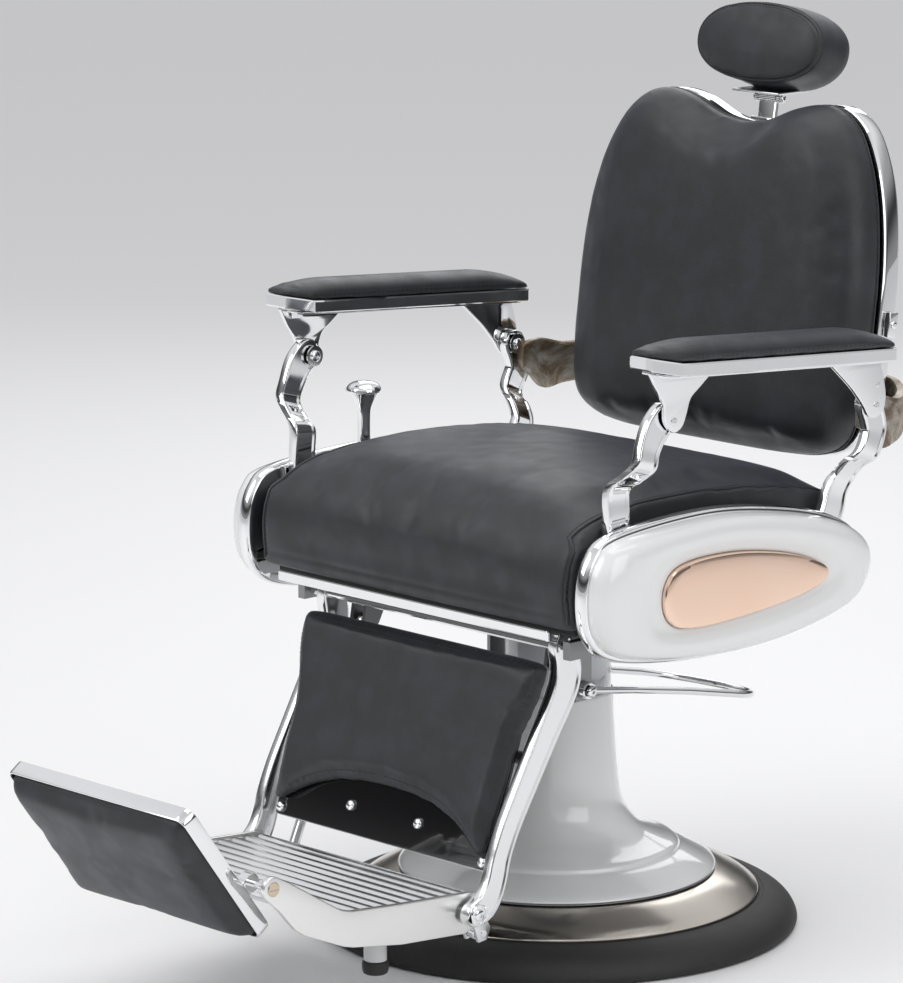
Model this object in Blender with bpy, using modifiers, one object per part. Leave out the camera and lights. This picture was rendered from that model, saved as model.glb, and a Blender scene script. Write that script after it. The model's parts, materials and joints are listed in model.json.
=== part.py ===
"""Hydraulic barber chair, built as separate pieces around its real joints.

Metres, +Z up. The chair faces -Y and the sitter's left is +X. The origin is the
middle of the base, on the floor. "left" and "right" are the sitter's.
"""
import math

import bmesh
import bpy
import numpy as np
from mathutils import Matrix, Vector

# ---------------------------------------------------------------- driving sizes
GAP = 0.0003            # between pieces that touch
BORE_PLAY = 0.00025     # between a pin and the eye that turns on it

BASE_RADIUS = 0.305
BASE_HEIGHT = 0.0405
SKIRT_RADIUS = 0.2005
COLUMN_RADIUS = 0.0708
COLUMN_TOP = 0.300
HEAD_UNDERSIDE = 0.385
FRAME_UNDERSIDE = 0.408
PAN_UNDERSIDE = 0.4443

FRAME_HALF_WIDTH = 0.262        # to the steel side frames
SIDE_FRAME_THICKNESS = 0.005
POST_THICKNESS = 0.014
POST_LOW_X = 0.276              # posts between the side frame and the panel
POST_HIGH_X = 0.3115            # posts beside the armrest bracket
PANEL_X = 0.307
ARM_X = 0.319
ARM_HALF_WIDTH = 0.033

RECLINE_PIVOT = (0.180, 0.506)          # y, z
FRONT_PIVOT = (-0.181, 0.533)
ARM_REAR_PIVOT = (0.226, 0.673)
ARM_FRONT_PIVOT = (ARM_REAR_PIVOT[0] + FRONT_PIVOT[0] - RECLINE_PIVOT[0],
                   ARM_REAR_PIVOT[1] + FRONT_PIVOT[1] - RECLINE_PIVOT[1])
PIN_RADIUS = 0.005

BACK_FOOT = (0.289, 0.592)              # y, z on the middle plane of the back
BACK_LEAN = math.radians(8)
HEADREST_PIVOT_HEIGHT = 0.429           # up the back, from its foot
HEADREST_BAR_DEPTH = 0.033

LEGREST_PIVOT = (-0.207, 0.421)
LEGREST_TOP = (-0.232, 0.408)           # top of the pad's front plane
LEGREST_LEAN = math.radians(20.1)
RAIL_X = 0.205
RAIL_THICKNESS = 0.015
FOOT_PIVOT = (-0.346, 0.116)
LINK_OFFSET = (0.036, -0.036)           # links run parallel to the rails
LINK_X = 0.172
FLAP_PIVOT = (-0.655, 0.205)
FLAP_FOOT = (-0.629, 0.144)
FLAP_LEAN = math.radians(126.2)         # from +Y, in the YZ plane
FLAP_LENGTH = 0.203
FLAP_HALF_WIDTH = 0.158
FOOTPLATE_X = 0.190
PUMP_PIVOT = (-0.033, 0.315)
PUMP_HALF_WIDTH = 0.0845
LEVER_PIVOT = (-0.074, 0.552)

FINISHES = {                # colour, metallic, roughness
    "chrome": ((0.80, 0.81, 0.82), 1.0, 0.06),
    "polished_aluminium": ((0.83, 0.83, 0.81), 1.0, 0.25),
    "cast_aluminium": ((0.42, 0.40, 0.36), 1.0, 0.55),
    "steel": ((0.30, 0.30, 0.31), 1.0, 0.45),
    "stainless": ((0.56, 0.53, 0.48), 1.0, 0.18),
    "white_enamel": ((0.86, 0.87, 0.86), 0.0, 0.15),
    "copper": ((0.90, 0.66, 0.50), 1.0, 0.20),
    "black_leather": ((0.020, 0.021, 0.024), 0.0, 0.42),
    "black_gloss": ((0.010, 0.010, 0.011), 0.0, 0.08),
    "rubber": ((0.018, 0.018, 0.018), 0.0, 0.65),
    "brass": ((0.72, 0.55, 0.28), 1.0, 0.30),
    "plywood": ((0.45, 0.31, 0.18), 0.0, 0.60),
    "cast_iron": ((0.10, 0.10, 0.10), 0.9, 0.60),
}


# ---------------------------------------------------------------- scene helpers
def clear_scene():
    for item in list(bpy.data.objects):
        bpy.data.objects.remove(item, do_unlink=True)


def new_collection(name):
    group = bpy.data.collections.new(name)
    bpy.context.scene.collection.children.link(group)
    return group


def material(finish):
    """The Principled material of a finish, made once."""
    found = bpy.data.materials.get(finish)
    if found:
        return found
    colour, metallic, roughness = FINISHES[finish]
    made = bpy.data.materials.new(finish)
    made.use_nodes = True
    shader = made.node_tree.nodes["Principled BSDF"]
    shader.inputs["Base Color"].default_value = (*colour, 1.0)
    shader.inputs["Metallic"].default_value = metallic
    shader.inputs["Roughness"].default_value = roughness
    return made


def add_mesh(name, bm, finish, smooth=True):
    """Make a named object from a bmesh, facing outwards."""
    bmesh.ops.remove_doubles(bm, verts=bm.verts, dist=1e-6)
    bmesh.ops.recalc_face_normals(bm, faces=bm.faces)
    mesh = bpy.data.meshes.new(name)
    bm.to_mesh(mesh)
    bm.free()
    if smooth:
        mesh.shade_smooth()
        mesh.set_sharp_from_angle(angle=math.radians(35))
    mesh.materials.append(material(finish))
    made = bpy.data.objects.new(name, mesh)
    CHAIR.objects.link(made)
    return made


def evaluated_bmesh(item):
    """The object's mesh after its modifiers, in world space."""
    bpy.context.view_layer.update()
    graph = bpy.context.evaluated_depsgraph_get()
    mesh = bpy.data.meshes.new_from_object(item.evaluated_get(graph))
    bm = bmesh.new()
    bm.from_mesh(mesh)
    bpy.data.meshes.remove(mesh)
    bm.transform(item.matrix_world)
    return bm


def take_out(item):
    bpy.data.objects.remove(item, do_unlink=True)


def combine(name, finish, items, operation="UNION"):
    """Join or cut the first object by the others, and keep one plain mesh."""
    first, others = items[0], items[1:]
    for other in others:
        step = first.modifiers.new("combine", "BOOLEAN")
        step.operation = operation
        step.solver = "EXACT"
        step.object = other
    bm = evaluated_bmesh(first)
    for item in items:
        take_out(item)
    return add_mesh(name, bm, finish)


def cut(item, *cutters):
    return combine(item.name, item.data.materials[0].name, [item, *cutters], "DIFFERENCE")


def mirrored(item, name):
    """A copy of a piece for the other side of the chair."""
    bm = evaluated_bmesh(item)
    bm.transform(Matrix.Scale(-1, 4, Vector((1, 0, 0))))
    bmesh.ops.reverse_faces(bm, faces=bm.faces)
    return add_mesh(name, bm, item.data.materials[0].name)


# ---------------------------------------------------------------- shape helpers
def box(name, low, high, finish, bevel=0.0, at=Matrix.Identity(4)):
    """A box between two corners, in the frame `at`."""
    low, high = Vector(low), Vector(high)
    bm = bmesh.new()
    bmesh.ops.create_cube(bm, size=1.0)
    bmesh.ops.scale(bm, vec=high - low, verts=bm.verts)
    bmesh.ops.translate(bm, vec=(high + low) / 2, verts=bm.verts)
    if bevel:
        bmesh.ops.bevel(bm, geom=bm.edges[:], offset=bevel, segments=2,
                        profile=0.5, affect="EDGES")
    bm.transform(at)
    return add_mesh(name, bm, finish)


def rod(name, start, end, radius, finish, sides=16):
    """A round bar between two points."""
    start, end = Vector(start), Vector(end)
    bm = bmesh.new()
    bmesh.ops.create_cone(bm, cap_ends=True, segments=sides, radius1=radius,
                          radius2=radius, depth=(end - start).length)
    turn = (end - start).to_track_quat("Z", "Y").to_matrix().to_4x4()
    bm.transform(Matrix.Translation((start + end) / 2) @ turn)
    return add_mesh(name, bm, finish)


def cross_rod(name, x_from, x_to, place, radius, finish, sides=16):
    """A round bar along X at a (y, z) place."""
    return rod(name, (x_from, *place), (x_to, *place), radius, finish, sides)


def tube_path(name, points, radius, finish):
    """A bent round bar through points, as a closed mesh."""
    curve = bpy.data.curves.new(name, "CURVE")
    curve.dimensions = "3D"
    curve.bevel_depth = radius
    curve.bevel_resolution = 2
    curve.use_fill_caps = True
    line = curve.splines.new("POLY")
    line.points.add(len(points) - 1)
    for knot, place in zip(line.points, points):
        knot.co = (*place, 1.0)
    guide = bpy.data.objects.new(name, curve)
    CHAIR.objects.link(guide)
    bm = evaluated_bmesh(guide)
    take_out(guide)
    bmesh.ops.remove_doubles(bm, verts=bm.verts, dist=1e-5)
    return add_mesh(name, bm, finish)


def turned(name, profile, finish, steps=32, wall=0.0):
    """Turn an (r, z) profile round Z. An open profile gets a wall inwards."""
    bm = bmesh.new()
    knots = [bm.verts.new((r, 0, z)) for r, z in profile]
    for one, other in zip(knots, knots[1:]):
        bm.edges.new((one, other))
    if not wall and profile[0][0] > 0:
        bm.edges.new((knots[-1], knots[0]))
    mesh = bpy.data.meshes.new(name)
    bm.to_mesh(mesh)
    bm.free()
    item = bpy.data.objects.new(name, mesh)
    CHAIR.objects.link(item)
    spin = item.modifiers.new("turn", "SCREW")
    spin.steps = spin.render_steps = steps
    spin.use_merge_vertices = True
    spin.merge_threshold = 0.0001
    if wall:
        shell = item.modifiers.new("wall", "SOLIDIFY")
        shell.thickness = wall
        shell.offset = -1
    turned_bm = evaluated_bmesh(item)
    take_out(item)
    return add_mesh(name, turned_bm, finish)


def smooth_loop(points, cuts=2, closed=True):
    """Catmull-Rom points through the given ones."""
    pts = [np.array(p, float) for p in points]
    count = len(pts)
    made = []
    for i in range(count if closed else count - 1):
        if closed:
            a, b, c, d = (pts[(i + k - 1) % count] for k in range(4))
        else:
            a, b, c, d = (pts[min(max(i + k - 1, 0), count - 1)] for k in range(4))
        for step in range(cuts):
            t = step / cuts
            made.append(0.5 * (2 * b + (c - a) * t + (2 * a - 5 * b + 4 * c - d) * t * t
                               + (3 * b - 3 * c + d - a) * t ** 3))
    if not closed:
        made.append(pts[-1])
    return [tuple(float(v) for v in p) for p in made]


def loft(name, rings, finish, ring_closed=True, capped=True, looped=False):
    """Skin rings of equal point counts; cap the ends or loop them round."""
    bm = bmesh.new()
    rows = [[bm.verts.new(p) for p in ring] for ring in rings]
    count = len(rows[0])
    pairs = list(zip(rows, rows[1:])) + ([(rows[-1], rows[0])] if looped else [])
    for low, high in pairs:
        for i in range(count if ring_closed else count - 1):
            j = (i + 1) % count
            bm.faces.new((low[i], low[j], high[j], high[i]))
    if capped and not looped:
        bm.faces.new(rows[0][::-1])
        bm.faces.new(rows[-1])
    return add_mesh(name, bm, finish)


def plate(name, outline, x_from, x_to, finish, bevel=0.0):
    """A flat plate: a (y, z) outline given a thickness along X."""
    if bevel:
        centre = np.mean(np.array(outline), axis=0)
        half = np.max(np.abs(np.array(outline) - centre), axis=0)
        small = [tuple(centre + (np.array(p) - centre) * (1 - bevel / half)) for p in outline]
        layers = [(x_from, small), (x_from + bevel, outline),
                  (x_to - bevel, outline), (x_to, small)]
    else:
        layers = [(x_from, outline), (x_to, outline)]
    return loft(name, [[(x, y, z) for y, z in line] for x, line in layers], finish)


def scaled(outline, centre, sy, sz):
    return [(centre[0] + (y - centre[0]) * sy, centre[1] + (z - centre[1]) * sz)
            for y, z in outline]


def bar_along(name, path, half_widths, thickness, finish, edge=0.0035):
    """A flat bar that follows (x, y, z) points, as wide as stated in YZ."""
    pts = [Vector(p) for p in path]
    rings = []
    for i, place in enumerate(pts):
        ahead = pts[min(i + 1, len(pts) - 1)] - pts[max(i - 1, 0)]
        across = Vector((0, -ahead.z, ahead.y)).normalized()
        half, t = half_widths[i], thickness / 2
        corners = ((-half, -t), (half, -t), (half, t), (-half, t))
        ring = []
        for k, (w, x) in enumerate(corners):
            before, after = corners[k - 1], corners[(k + 1) % 4]
            for near in (before, after):
                step = Vector((near[0] - w, near[1] - x)).normalized() * edge
                ring.append(place + across * (w + step.x) + Vector((x + step.y, 0, 0)))
        rings.append(ring)
    return loft(name, rings, finish)


def back_frame():
    """Axes of the back: x across, y up the back, z rearwards."""
    up = Vector((0, math.sin(BACK_LEAN), math.cos(BACK_LEAN)))
    rear = Vector((0, math.cos(BACK_LEAN), -math.sin(BACK_LEAN)))
    return Matrix(((1, up.x, rear.x, 0), (0, up.y, rear.y, BACK_FOOT[0]),
                   (0, up.z, rear.z, BACK_FOOT[1]), (0, 0, 0, 1)))


def legrest_frame():
    """Axes of the legrest: x across, y down the pad, z out of its front."""
    down = Vector((0, -math.sin(LEGREST_LEAN), -math.cos(LEGREST_LEAN)))
    front = Vector((0, -math.cos(LEGREST_LEAN), math.sin(LEGREST_LEAN)))
    return Matrix(((1, 0, 0, 0), (0, down.y, front.y, LEGREST_TOP[0]),
                   (0, down.z, front.z, LEGREST_TOP[1]), (0, 0, 0, 1)))


def flap_frame_axes():
    """Axes of the flap: x across, y up the flap, z out of its metal side."""
    up = Vector((0, math.cos(FLAP_LEAN), math.sin(FLAP_LEAN)))
    rear = Vector((0, math.sin(FLAP_LEAN), -math.cos(FLAP_LEAN)))
    return Matrix(((1, 0, 0, 0), (0, up.y, rear.y, FLAP_FOOT[0]),
                   (0, up.z, rear.z, FLAP_FOOT[1]), (0, 0, 0, 1)))


def layered(name, outline, layers, frame, finish, centre=(0.0, 0.0)):
    """A puffed or stepped plate: the outline at (depth, scale) layers."""
    rings = [[frame @ Vector((x, y, depth)) for x, y in scaled(outline, centre, size, size)]
             for depth, size in layers]
    return loft(name, rings, finish)


def half_to_full(points):
    """Mirror an outline given from the bottom middle round to the top middle."""
    return points + [(-x, y) for x, y in reversed(points[1:-1])]


# ---------------------------------------------------------------- base
def make_base():
    turned("base_plate", [(0, 0.012), (0.240, 0.012), (0.240, BASE_HEIGHT),
                          (0.255, BASE_HEIGHT), (0.255, 0), (0, 0)], "cast_iron", 48)
    rim = 0.255 + GAP
    turned("base_rubber_ring",
           [(rim, BASE_HEIGHT), (0.262, BASE_HEIGHT), (0.286, 0.031), (0.300, 0.019),
            (BASE_RADIUS, 0.010), (0.3035, 0.003), (0.300, 0), (rim, 0)], "rubber", 48)
    foot = BASE_HEIGHT + GAP
    turned("base_cover",
           [(0.1975, 0.0700), (0.203, 0.0685), (0.218, 0.0635), (0.240, 0.0535),
            (0.2550, 0.0430), (0.2550, foot), (0.2530, foot), (0.2385, 0.0517),
            (0.2170, 0.0615), (0.1975, 0.0670)], "stainless", 48)
    turned("column_skirt",
           [(COLUMN_RADIUS, COLUMN_TOP), (0.0712, 0.270), (0.0745, 0.219), (0.078, 0.181),
            (0.082, 0.156), (0.0945, 0.1365), (0.1075, 0.1215), (0.1297, 0.1115),
            (0.150, 0.1045), (0.155, 0.0985), (0.180, 0.0865), (0.195, 0.0795),
            (SKIRT_RADIUS, 0.0735)], "white_enamel", 36, wall=0.0025)
    floor = 0.012 + GAP
    turned("hydraulic_cylinder",
           [(0, 0.030), (0.0305, 0.030), (0.0305, 0.285), (0.045, 0.285), (0.045, 0.030),
            (0.062, 0.0225), (0.062, floor), (0, floor)], "steel", 24)
    turned("cylinder_seal", [(0.0304, 0.297), (0.045, 0.297), (0.045, 0.285 + GAP),
                             (0.0304, 0.285 + GAP)], "rubber", 24)


# ---------------------------------------------------------------- lift and pump
def make_lift():
    top = HEAD_UNDERSIDE - GAP
    seat, spindle = 0.380, 0.018
    turned("lift_ram", [(0, 0.415), (spindle, 0.415), (spindle, seat), (0.030, seat),
                        (0.030, 0.052), (0, 0.052)], "chrome", 24)
    turned("swivel_bearing", [(spindle + GAP, top), (0.030, top), (0.030, seat + GAP),
                              (spindle + GAP, seat + GAP)], "brass", 32)
    turned("telescopic_sleeve", [(0.0650, top), (0.0677, top), (0.0677, 0.110),
                                 (0.0650, 0.110)], "white_enamel", 40)
    spindle_top = 0.4350
    bore = spindle + BORE_PLAY
    head = turned("head", [(0, spindle_top), (0.028, spindle_top), (0.028, 0.400),
                           (0.069, 0.400), (0.069, HEAD_UNDERSIDE), (bore, HEAD_UNDERSIDE),
                           (bore, 0.4155), (0, 0.4155)], "steel", 32)
    shapes = [head]
    for side in (-1, 1):
        y, z = PUMP_PIVOT
        arm = sorted((side * 0.050, side * 0.0785))
        ear = sorted((side * 0.0735, side * 0.0785))
        shapes.append(box("arm", (arm[0], y - 0.015, 0.388), (arm[1], y + 0.015, 0.398), "steel"))
        shapes.append(box("ear", (ear[0], y - 0.014, z - 0.014),
                          (ear[1], y + 0.014, 0.396), "steel"))
        shapes.append(cross_rod("pin", side * 0.076, side * 0.092, PUMP_PIVOT, PIN_RADIUS, "steel"))
    combine("lift_head", "steel", shapes)
    turned("head_nut", [(0, 0.442), (0.040, 0.442), (0.040, spindle_top + GAP),
                        (0, spindle_top + GAP)], "steel", 6)


def make_pump_handle():
    """A hoop of round bar whose two eyes turn on pins beside the column."""
    y, z = PUMP_PIVOT
    start, bend = y + 0.0075, 0.235
    radius = PUMP_HALF_WIDTH

    def fall(at):
        return z - 0.145 * (at - y) - 0.15 * (at - y) ** 2
    strand = [(radius, at, fall(at)) for at in (start, 0.060, 0.150)]
    arc = [math.radians(a) for a in range(0, 181, 15)]
    bow = [(radius * math.cos(a), bend + radius * math.sin(a),
            fall(bend + radius * math.sin(a))) for a in arc]
    back = [(-x, at, low) for x, at, low in reversed(strand)]
    hoop = tube_path("hoop", [*strand, *bow, *back], 0.0048, "chrome")
    shapes = [hoop]
    for side in (-1, 1):
        shapes.append(cross_rod("eye", side * (radius - 0.0055), side * (radius + 0.0055),
                                PUMP_PIVOT, 0.0115, "chrome"))
    handle = combine("pump_handle", "chrome", shapes)
    bores = [cross_rod("bore", side * 0.070, side * 0.100, PUMP_PIVOT,
                       PIN_RADIUS + BORE_PLAY, "chrome") for side in (-1, 1)]
    cut(handle, *bores)


# ---------------------------------------------------------------- seat
PANEL_OUTLINE = smooth_loop([
    (-0.259, 0.500), (-0.246, 0.545), (-0.205, 0.567), (-0.050, 0.575), (0.085, 0.558),
    (0.175, 0.533), (0.219, 0.503), (0.222, 0.468), (0.185, 0.430), (0.060, 0.406),
    (-0.080, 0.405), (-0.205, 0.422), (-0.249, 0.452)])
PANEL_CENTRE = (-0.017, 0.488)
INSERT_OUTLINE = smooth_loop([
    (-0.160, 0.488), (-0.135, 0.526), (-0.040, 0.531), (0.068, 0.513), (0.130, 0.485),
    (0.096, 0.462), (-0.038, 0.448), (-0.135, 0.452)])


def shell_from_rings(name, rings, wall, finish):
    """An open loft with one capped end, given a wall inwards."""
    shell = loft(name, rings, finish, capped=False)
    bm = evaluated_bmesh(shell)
    take_out(shell)
    far = max(abs(v.co.x - rings[0][0][0]) for v in bm.verts)
    rim = [v for v in bm.verts if abs(abs(v.co.x - rings[0][0][0]) - far) < 1e-6]
    last = [e for e in bm.edges if e.is_boundary and e.verts[0] in rim and e.verts[1] in rim]
    bmesh.ops.contextual_create(bm, geom=last)
    bmesh.ops.recalc_face_normals(bm, faces=bm.faces)
    open_shell = add_mesh(name, bm, finish)
    step = open_shell.modifiers.new("wall", "SOLIDIFY")
    step.thickness = wall
    step.offset = -1
    solid = evaluated_bmesh(open_shell)
    take_out(open_shell)
    return add_mesh(name, solid, finish)


def make_side_panel():
    """White shell, its chrome tray behind it and the copper insert on it."""
    steps = [(PANEL_X, 1, 1), (PANEL_X + 0.011, 1, 1), (PANEL_X + 0.019, 0.975, 0.95),
             (PANEL_X + 0.026, 0.90, 0.86), (PANEL_X + 0.030, 0.74, 0.68)]
    rings = [[(x, y, z) for y, z in scaled(PANEL_OUTLINE, PANEL_CENTRE, sy, sz)]
             for x, sy, sz in steps]
    panel = shell_from_rings("side_panel_left", rings, 0.0025, "white_enamel")
    mirrored(panel, "side_panel_right")
    lip = PANEL_X - GAP
    rim = [(lip, 1.018, 1.050), (lip - 0.005, 1.027, 1.073), (lip - 0.015, 1.027, 1.073),
           (lip - 0.020, 1.015, 1.040)]
    rings = [[(x, y, z) for y, z in scaled(PANEL_OUTLINE, PANEL_CENTRE, sy, sz)]
             for x, sy, sz in rim]
    tray = shell_from_rings("side_trim_left", rings, 0.003, "chrome")
    mirrored(tray, "side_trim_right")
    face = PANEL_X + 0.030 + GAP
    insert = plate("panel_insert_left", INSERT_OUTLINE, face, face + 0.004, "copper", 0.0012)
    mirrored(insert, "panel_insert_right")


def make_seat_frame():
    """Pressed tray under the seat, with the lugs that carry the legrest and its links."""
    half, front, rear = FRAME_HALF_WIDTH, -0.145, 0.215
    base, top, wall = FRAME_UNDERSIDE, 0.436, 0.003
    tray = box("tray", (-half, front, base), (half, rear, top), "steel")
    pocket = box("pocket", (-half + wall, front + wall, base + 0.004),
                 (half - wall, rear - wall, top + 0.01), "steel")
    tray = cut(tray, pocket)
    hub = turned("hub", [(0, 0.434), (0.046, 0.434), (0.046, 0.4003), (0, 0.4003)], "steel", 32)
    shapes = [tray, hub]
    y, z = LEGREST_PIVOT
    for side in (-1, 1):
        lug = sorted((side * 0.2285, side * 0.2405))
        shapes.append(box("lug", (lug[0], y - 0.014, z - 0.011),
                          (lug[1], front + 0.02, z + 0.011), "steel"))
        ly, lz = y + LINK_OFFSET[0], z + LINK_OFFSET[1]
        ear_outline = [(front + 0.001, base + 0.001), (front + 0.001, top - 0.001),
                       (ly - 0.006, top - 0.012), (ly - 0.013, lz), (ly, lz - 0.012),
                       (ly + 0.012, lz - 0.004)]
        for offset in (-0.0135, 0.0085):
            x = side * LINK_X + offset
            shapes.append(plate("ear", ear_outline, x, x + 0.005, "steel"))
        shapes.append(cross_rod("pin", side * LINK_X - 0.012, side * LINK_X + 0.012,
                                (ly, lz), PIN_RADIUS, "steel"))
    frame = combine("seat_frame", "steel", shapes)
    spindle = rod("spindle", (0, 0, 0.39), (0, 0, 0.45), 0.028 + BORE_PLAY, "steel", 32)
    cut(frame, spindle)
    cross_rod("legrest_shaft", -0.228, 0.228, LEGREST_PIVOT, 0.006, "chrome")
    box("seat_pan", (-0.2605, -0.235, PAN_UNDERSIDE), (0.2605, 0.228, PAN_UNDERSIDE + 0.012),
        "plywood", 0.002)
    box("seat_front_lip", (-0.238, -0.2575, 0.4385), (0.238, -0.2515, 0.4520), "chrome", 0.002)


def make_side_frame():
    """Steel upright inside the panel, with the studs of both posts."""
    outline = [(-0.222, 0.445), (-0.208, 0.548), (-0.190, 0.560), (0.150, 0.545),
               (0.192, 0.520), (0.200, 0.440), (0.160, 0.414), (-0.140, 0.414)]
    inner = FRAME_HALF_WIDTH + GAP
    outer = inner + SIDE_FRAME_THICKNESS
    upright = plate("upright", outline, inner, outer, "steel")
    studs = [cross_rod("stud", outer - 0.002, POST_LOW_X + 0.009, place, PIN_RADIUS, "steel")
             for place in (RECLINE_PIVOT, FRONT_PIVOT)]
    side = combine("side_frame_left", "steel", [upright, *studs])
    mirrored(side, "side_frame_right")
    lever_stud = cross_rod("stud", -outer + 0.002, -POST_LOW_X - 0.008, LEVER_PIVOT,
                           PIN_RADIUS, "steel")
    right = bpy.data.objects["side_frame_right"]
    combine("side_frame_right", "steel", [right, lever_stud])


def make_seat_cushion():
    """Crowned pad with a thick front roll, narrow between the side frames."""
    def half_width(y):
        return 0.2600 if y > -0.236 else 0.2600 + 0.018 * min(1, (-0.236 - y) / 0.010)

    bottom = PAN_UNDERSIDE + 0.012 + GAP
    stations = [(-0.264, 0.480, 0.545), (-0.256, 0.4625, 0.566), (-0.244, bottom, 0.577),
                (-0.232, bottom, 0.583), (-0.180, bottom, 0.592), (-0.080, bottom, 0.602),
                (0.040, bottom, 0.599), (0.140, bottom, 0.586), (0.210, bottom, 0.571),
                (0.238, bottom, 0.560), (0.247, bottom + 0.012, 0.545)]
    rings = []
    for y, low, high in stations:
        w = half_width(y)
        edge = high - 0.018
        crown = high + 0.010
        rings.append([(w - 0.008, y, low), (w, y, low + 0.012), (w, y, edge - 0.012),
                      (w - 0.006, y, edge + 0.006), (w - 0.030, y, high), (0.110, y, crown),
                      (-0.110, y, crown), (-w + 0.030, y, high), (-w + 0.006, y, edge + 0.006),
                      (-w, y, edge - 0.012), (-w, y, low + 0.012), (-w + 0.008, y, low)])
    loft("seat_cushion", rings, "black_leather")


def make_lever():
    x = -POST_LOW_X
    y, z = LEVER_PIVOT
    stem = rod("stem", (x, y, z + 0.004), (x, y - 0.001, z + 0.080), 0.0040, "chrome")
    eye = cross_rod("eye", x - 0.005, x + 0.005, LEVER_PIVOT, 0.010, "chrome")
    lever = combine("recline_lever", "chrome", [stem, eye])
    cut(lever, cross_rod("bore", x - 0.02, x + 0.02, LEVER_PIVOT, PIN_RADIUS + BORE_PLAY, "chrome"))
    knob = turned("recline_knob", [(0, 0.031), (0.012, 0.029), (0.019, 0.022), (0.021, 0.015),
                                   (0.018, 0.009), (0.009, 0.005), (0.007, 0),
                                   (0, 0)], "chrome", 20)
    bm = evaluated_bmesh(knob)
    take_out(knob)
    bm.transform(Matrix.Translation((x, y - 0.001, z + 0.080 + GAP)))
    add_mesh("recline_knob", bm, "chrome")


# ---------------------------------------------------------------- posts and arms
def make_posts():
    """S-shaped posts: low inside the panel, high beside the armrest bracket."""
    low, high = POST_LOW_X, POST_HIGH_X
    fy, fz = FRONT_PIVOT
    ay, az = ARM_FRONT_PIVOT
    front_path = [(low, fy, fz - 0.018), (low, fy, fz), (low, -0.181, 0.575),
                  (low, -0.1800, 0.6160), (high, -0.172, 0.6480), (high, -0.166, 0.668),
                  (high, -0.155, 0.690), (high, -0.142, 0.703), (high, -0.132, 0.716)]
    front = bar_along("front", front_path, [0.0125, 0.0175, 0.0175, 0.0175, 0.0168, 0.0170,
                                            0.0195, 0.0200, 0.0140], POST_THICKNESS, "chrome")
    bores = [cross_rod("bore", 0.25, 0.33, place, PIN_RADIUS + BORE_PLAY, "chrome")
             for place in (FRONT_PIVOT, ARM_FRONT_PIVOT)]
    front.name = "front_post_left"
    mirrored(cut(front, *bores), "front_post_right")

    ry, rz = RECLINE_PIVOT
    ay, az = ARM_REAR_PIVOT
    rear_path = [(low, ry + 0.002, rz - 0.018), (low, ry, rz), (low, 0.198, 0.538),
                 (low, 0.206, 0.562), (low + 0.004, 0.214, 0.578), (0.294, 0.219, 0.597),
                 (high, 0.224, 0.612), (high, 0.236, 0.638), (high, 0.234, 0.655),
                 (high, ay, az), (high, 0.221, 0.690)]
    rear = bar_along("rear", rear_path, [0.013, 0.019, 0.0195, 0.018, 0.0165, 0.0165, 0.0165,
                                         0.018, 0.018, 0.018, 0.013], POST_THICKNESS, "chrome")
    bores = [cross_rod("bore", 0.25, 0.33, place, PIN_RADIUS + BORE_PLAY, "chrome")
             for place in (RECLINE_PIVOT, ARM_REAR_PIVOT)]
    rear.name = "rear_post_left"
    mirrored(cut(rear, *bores), "rear_post_right")


ARM_FRONT, ARM_REAR = -0.190, 0.238
TRAY_HEIGHT = 0.016


def arm_top(y):
    """Height of the armrest tray's upper edge: it falls to the rear and lifts at the front."""
    rise = 0.007 * (max(0.0, -0.135 - y) / 0.055) ** 2
    return 0.7733 - 0.0705 * (y + 0.135) + rise


ARM_STATIONS = [(ARM_FRONT, 0.0125), (-0.185, 0.0185), (-0.168, 0.0251),
                (-0.1475, ARM_HALF_WIDTH), (-0.020, ARM_HALF_WIDTH), (0.080, ARM_HALF_WIDTH),
                (0.180, ARM_HALF_WIDTH), (0.215, ARM_HALF_WIDTH), (0.231, ARM_HALF_WIDTH),
                (ARM_REAR, 0.026)]


def make_arm():
    rings = []
    for y, half in ARM_STATIONS:
        top = arm_top(y)
        low = top - TRAY_HEIGHT
        rings.append([(ARM_X + dx, y, z) for dx, z in (
            (-half + 0.002, low), (-half, low + 0.003), (-half, top - 0.003),
            (-half + 0.003, top), (half - 0.003, top), (half, top - 0.003),
            (half, low + 0.003), (half - 0.002, low))])
    mirrored(loft("armrest_tray_left", rings, "chrome"), "armrest_tray_right")

    rings = []
    for y, half in ARM_STATIONS:
        base = arm_top(y) + GAP
        end = min(1.0, 0.35 + 14 * min(y - ARM_FRONT, ARM_REAR - y))
        w = half - 0.002
        rings.append([(ARM_X + dx * w, y, base + dz * end) for dx, dz in (
            (-1, 0), (-1, 0.009), (-0.86, 0.0165), (-0.5, 0.023), (0, 0.025),
            (0.5, 0.023), (0.86, 0.0165), (1, 0.009), (1, 0))])
    mirrored(loft("armrest_pad_left", rings, "black_leather"), "armrest_pad_right")
    make_arm_bracket()


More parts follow.
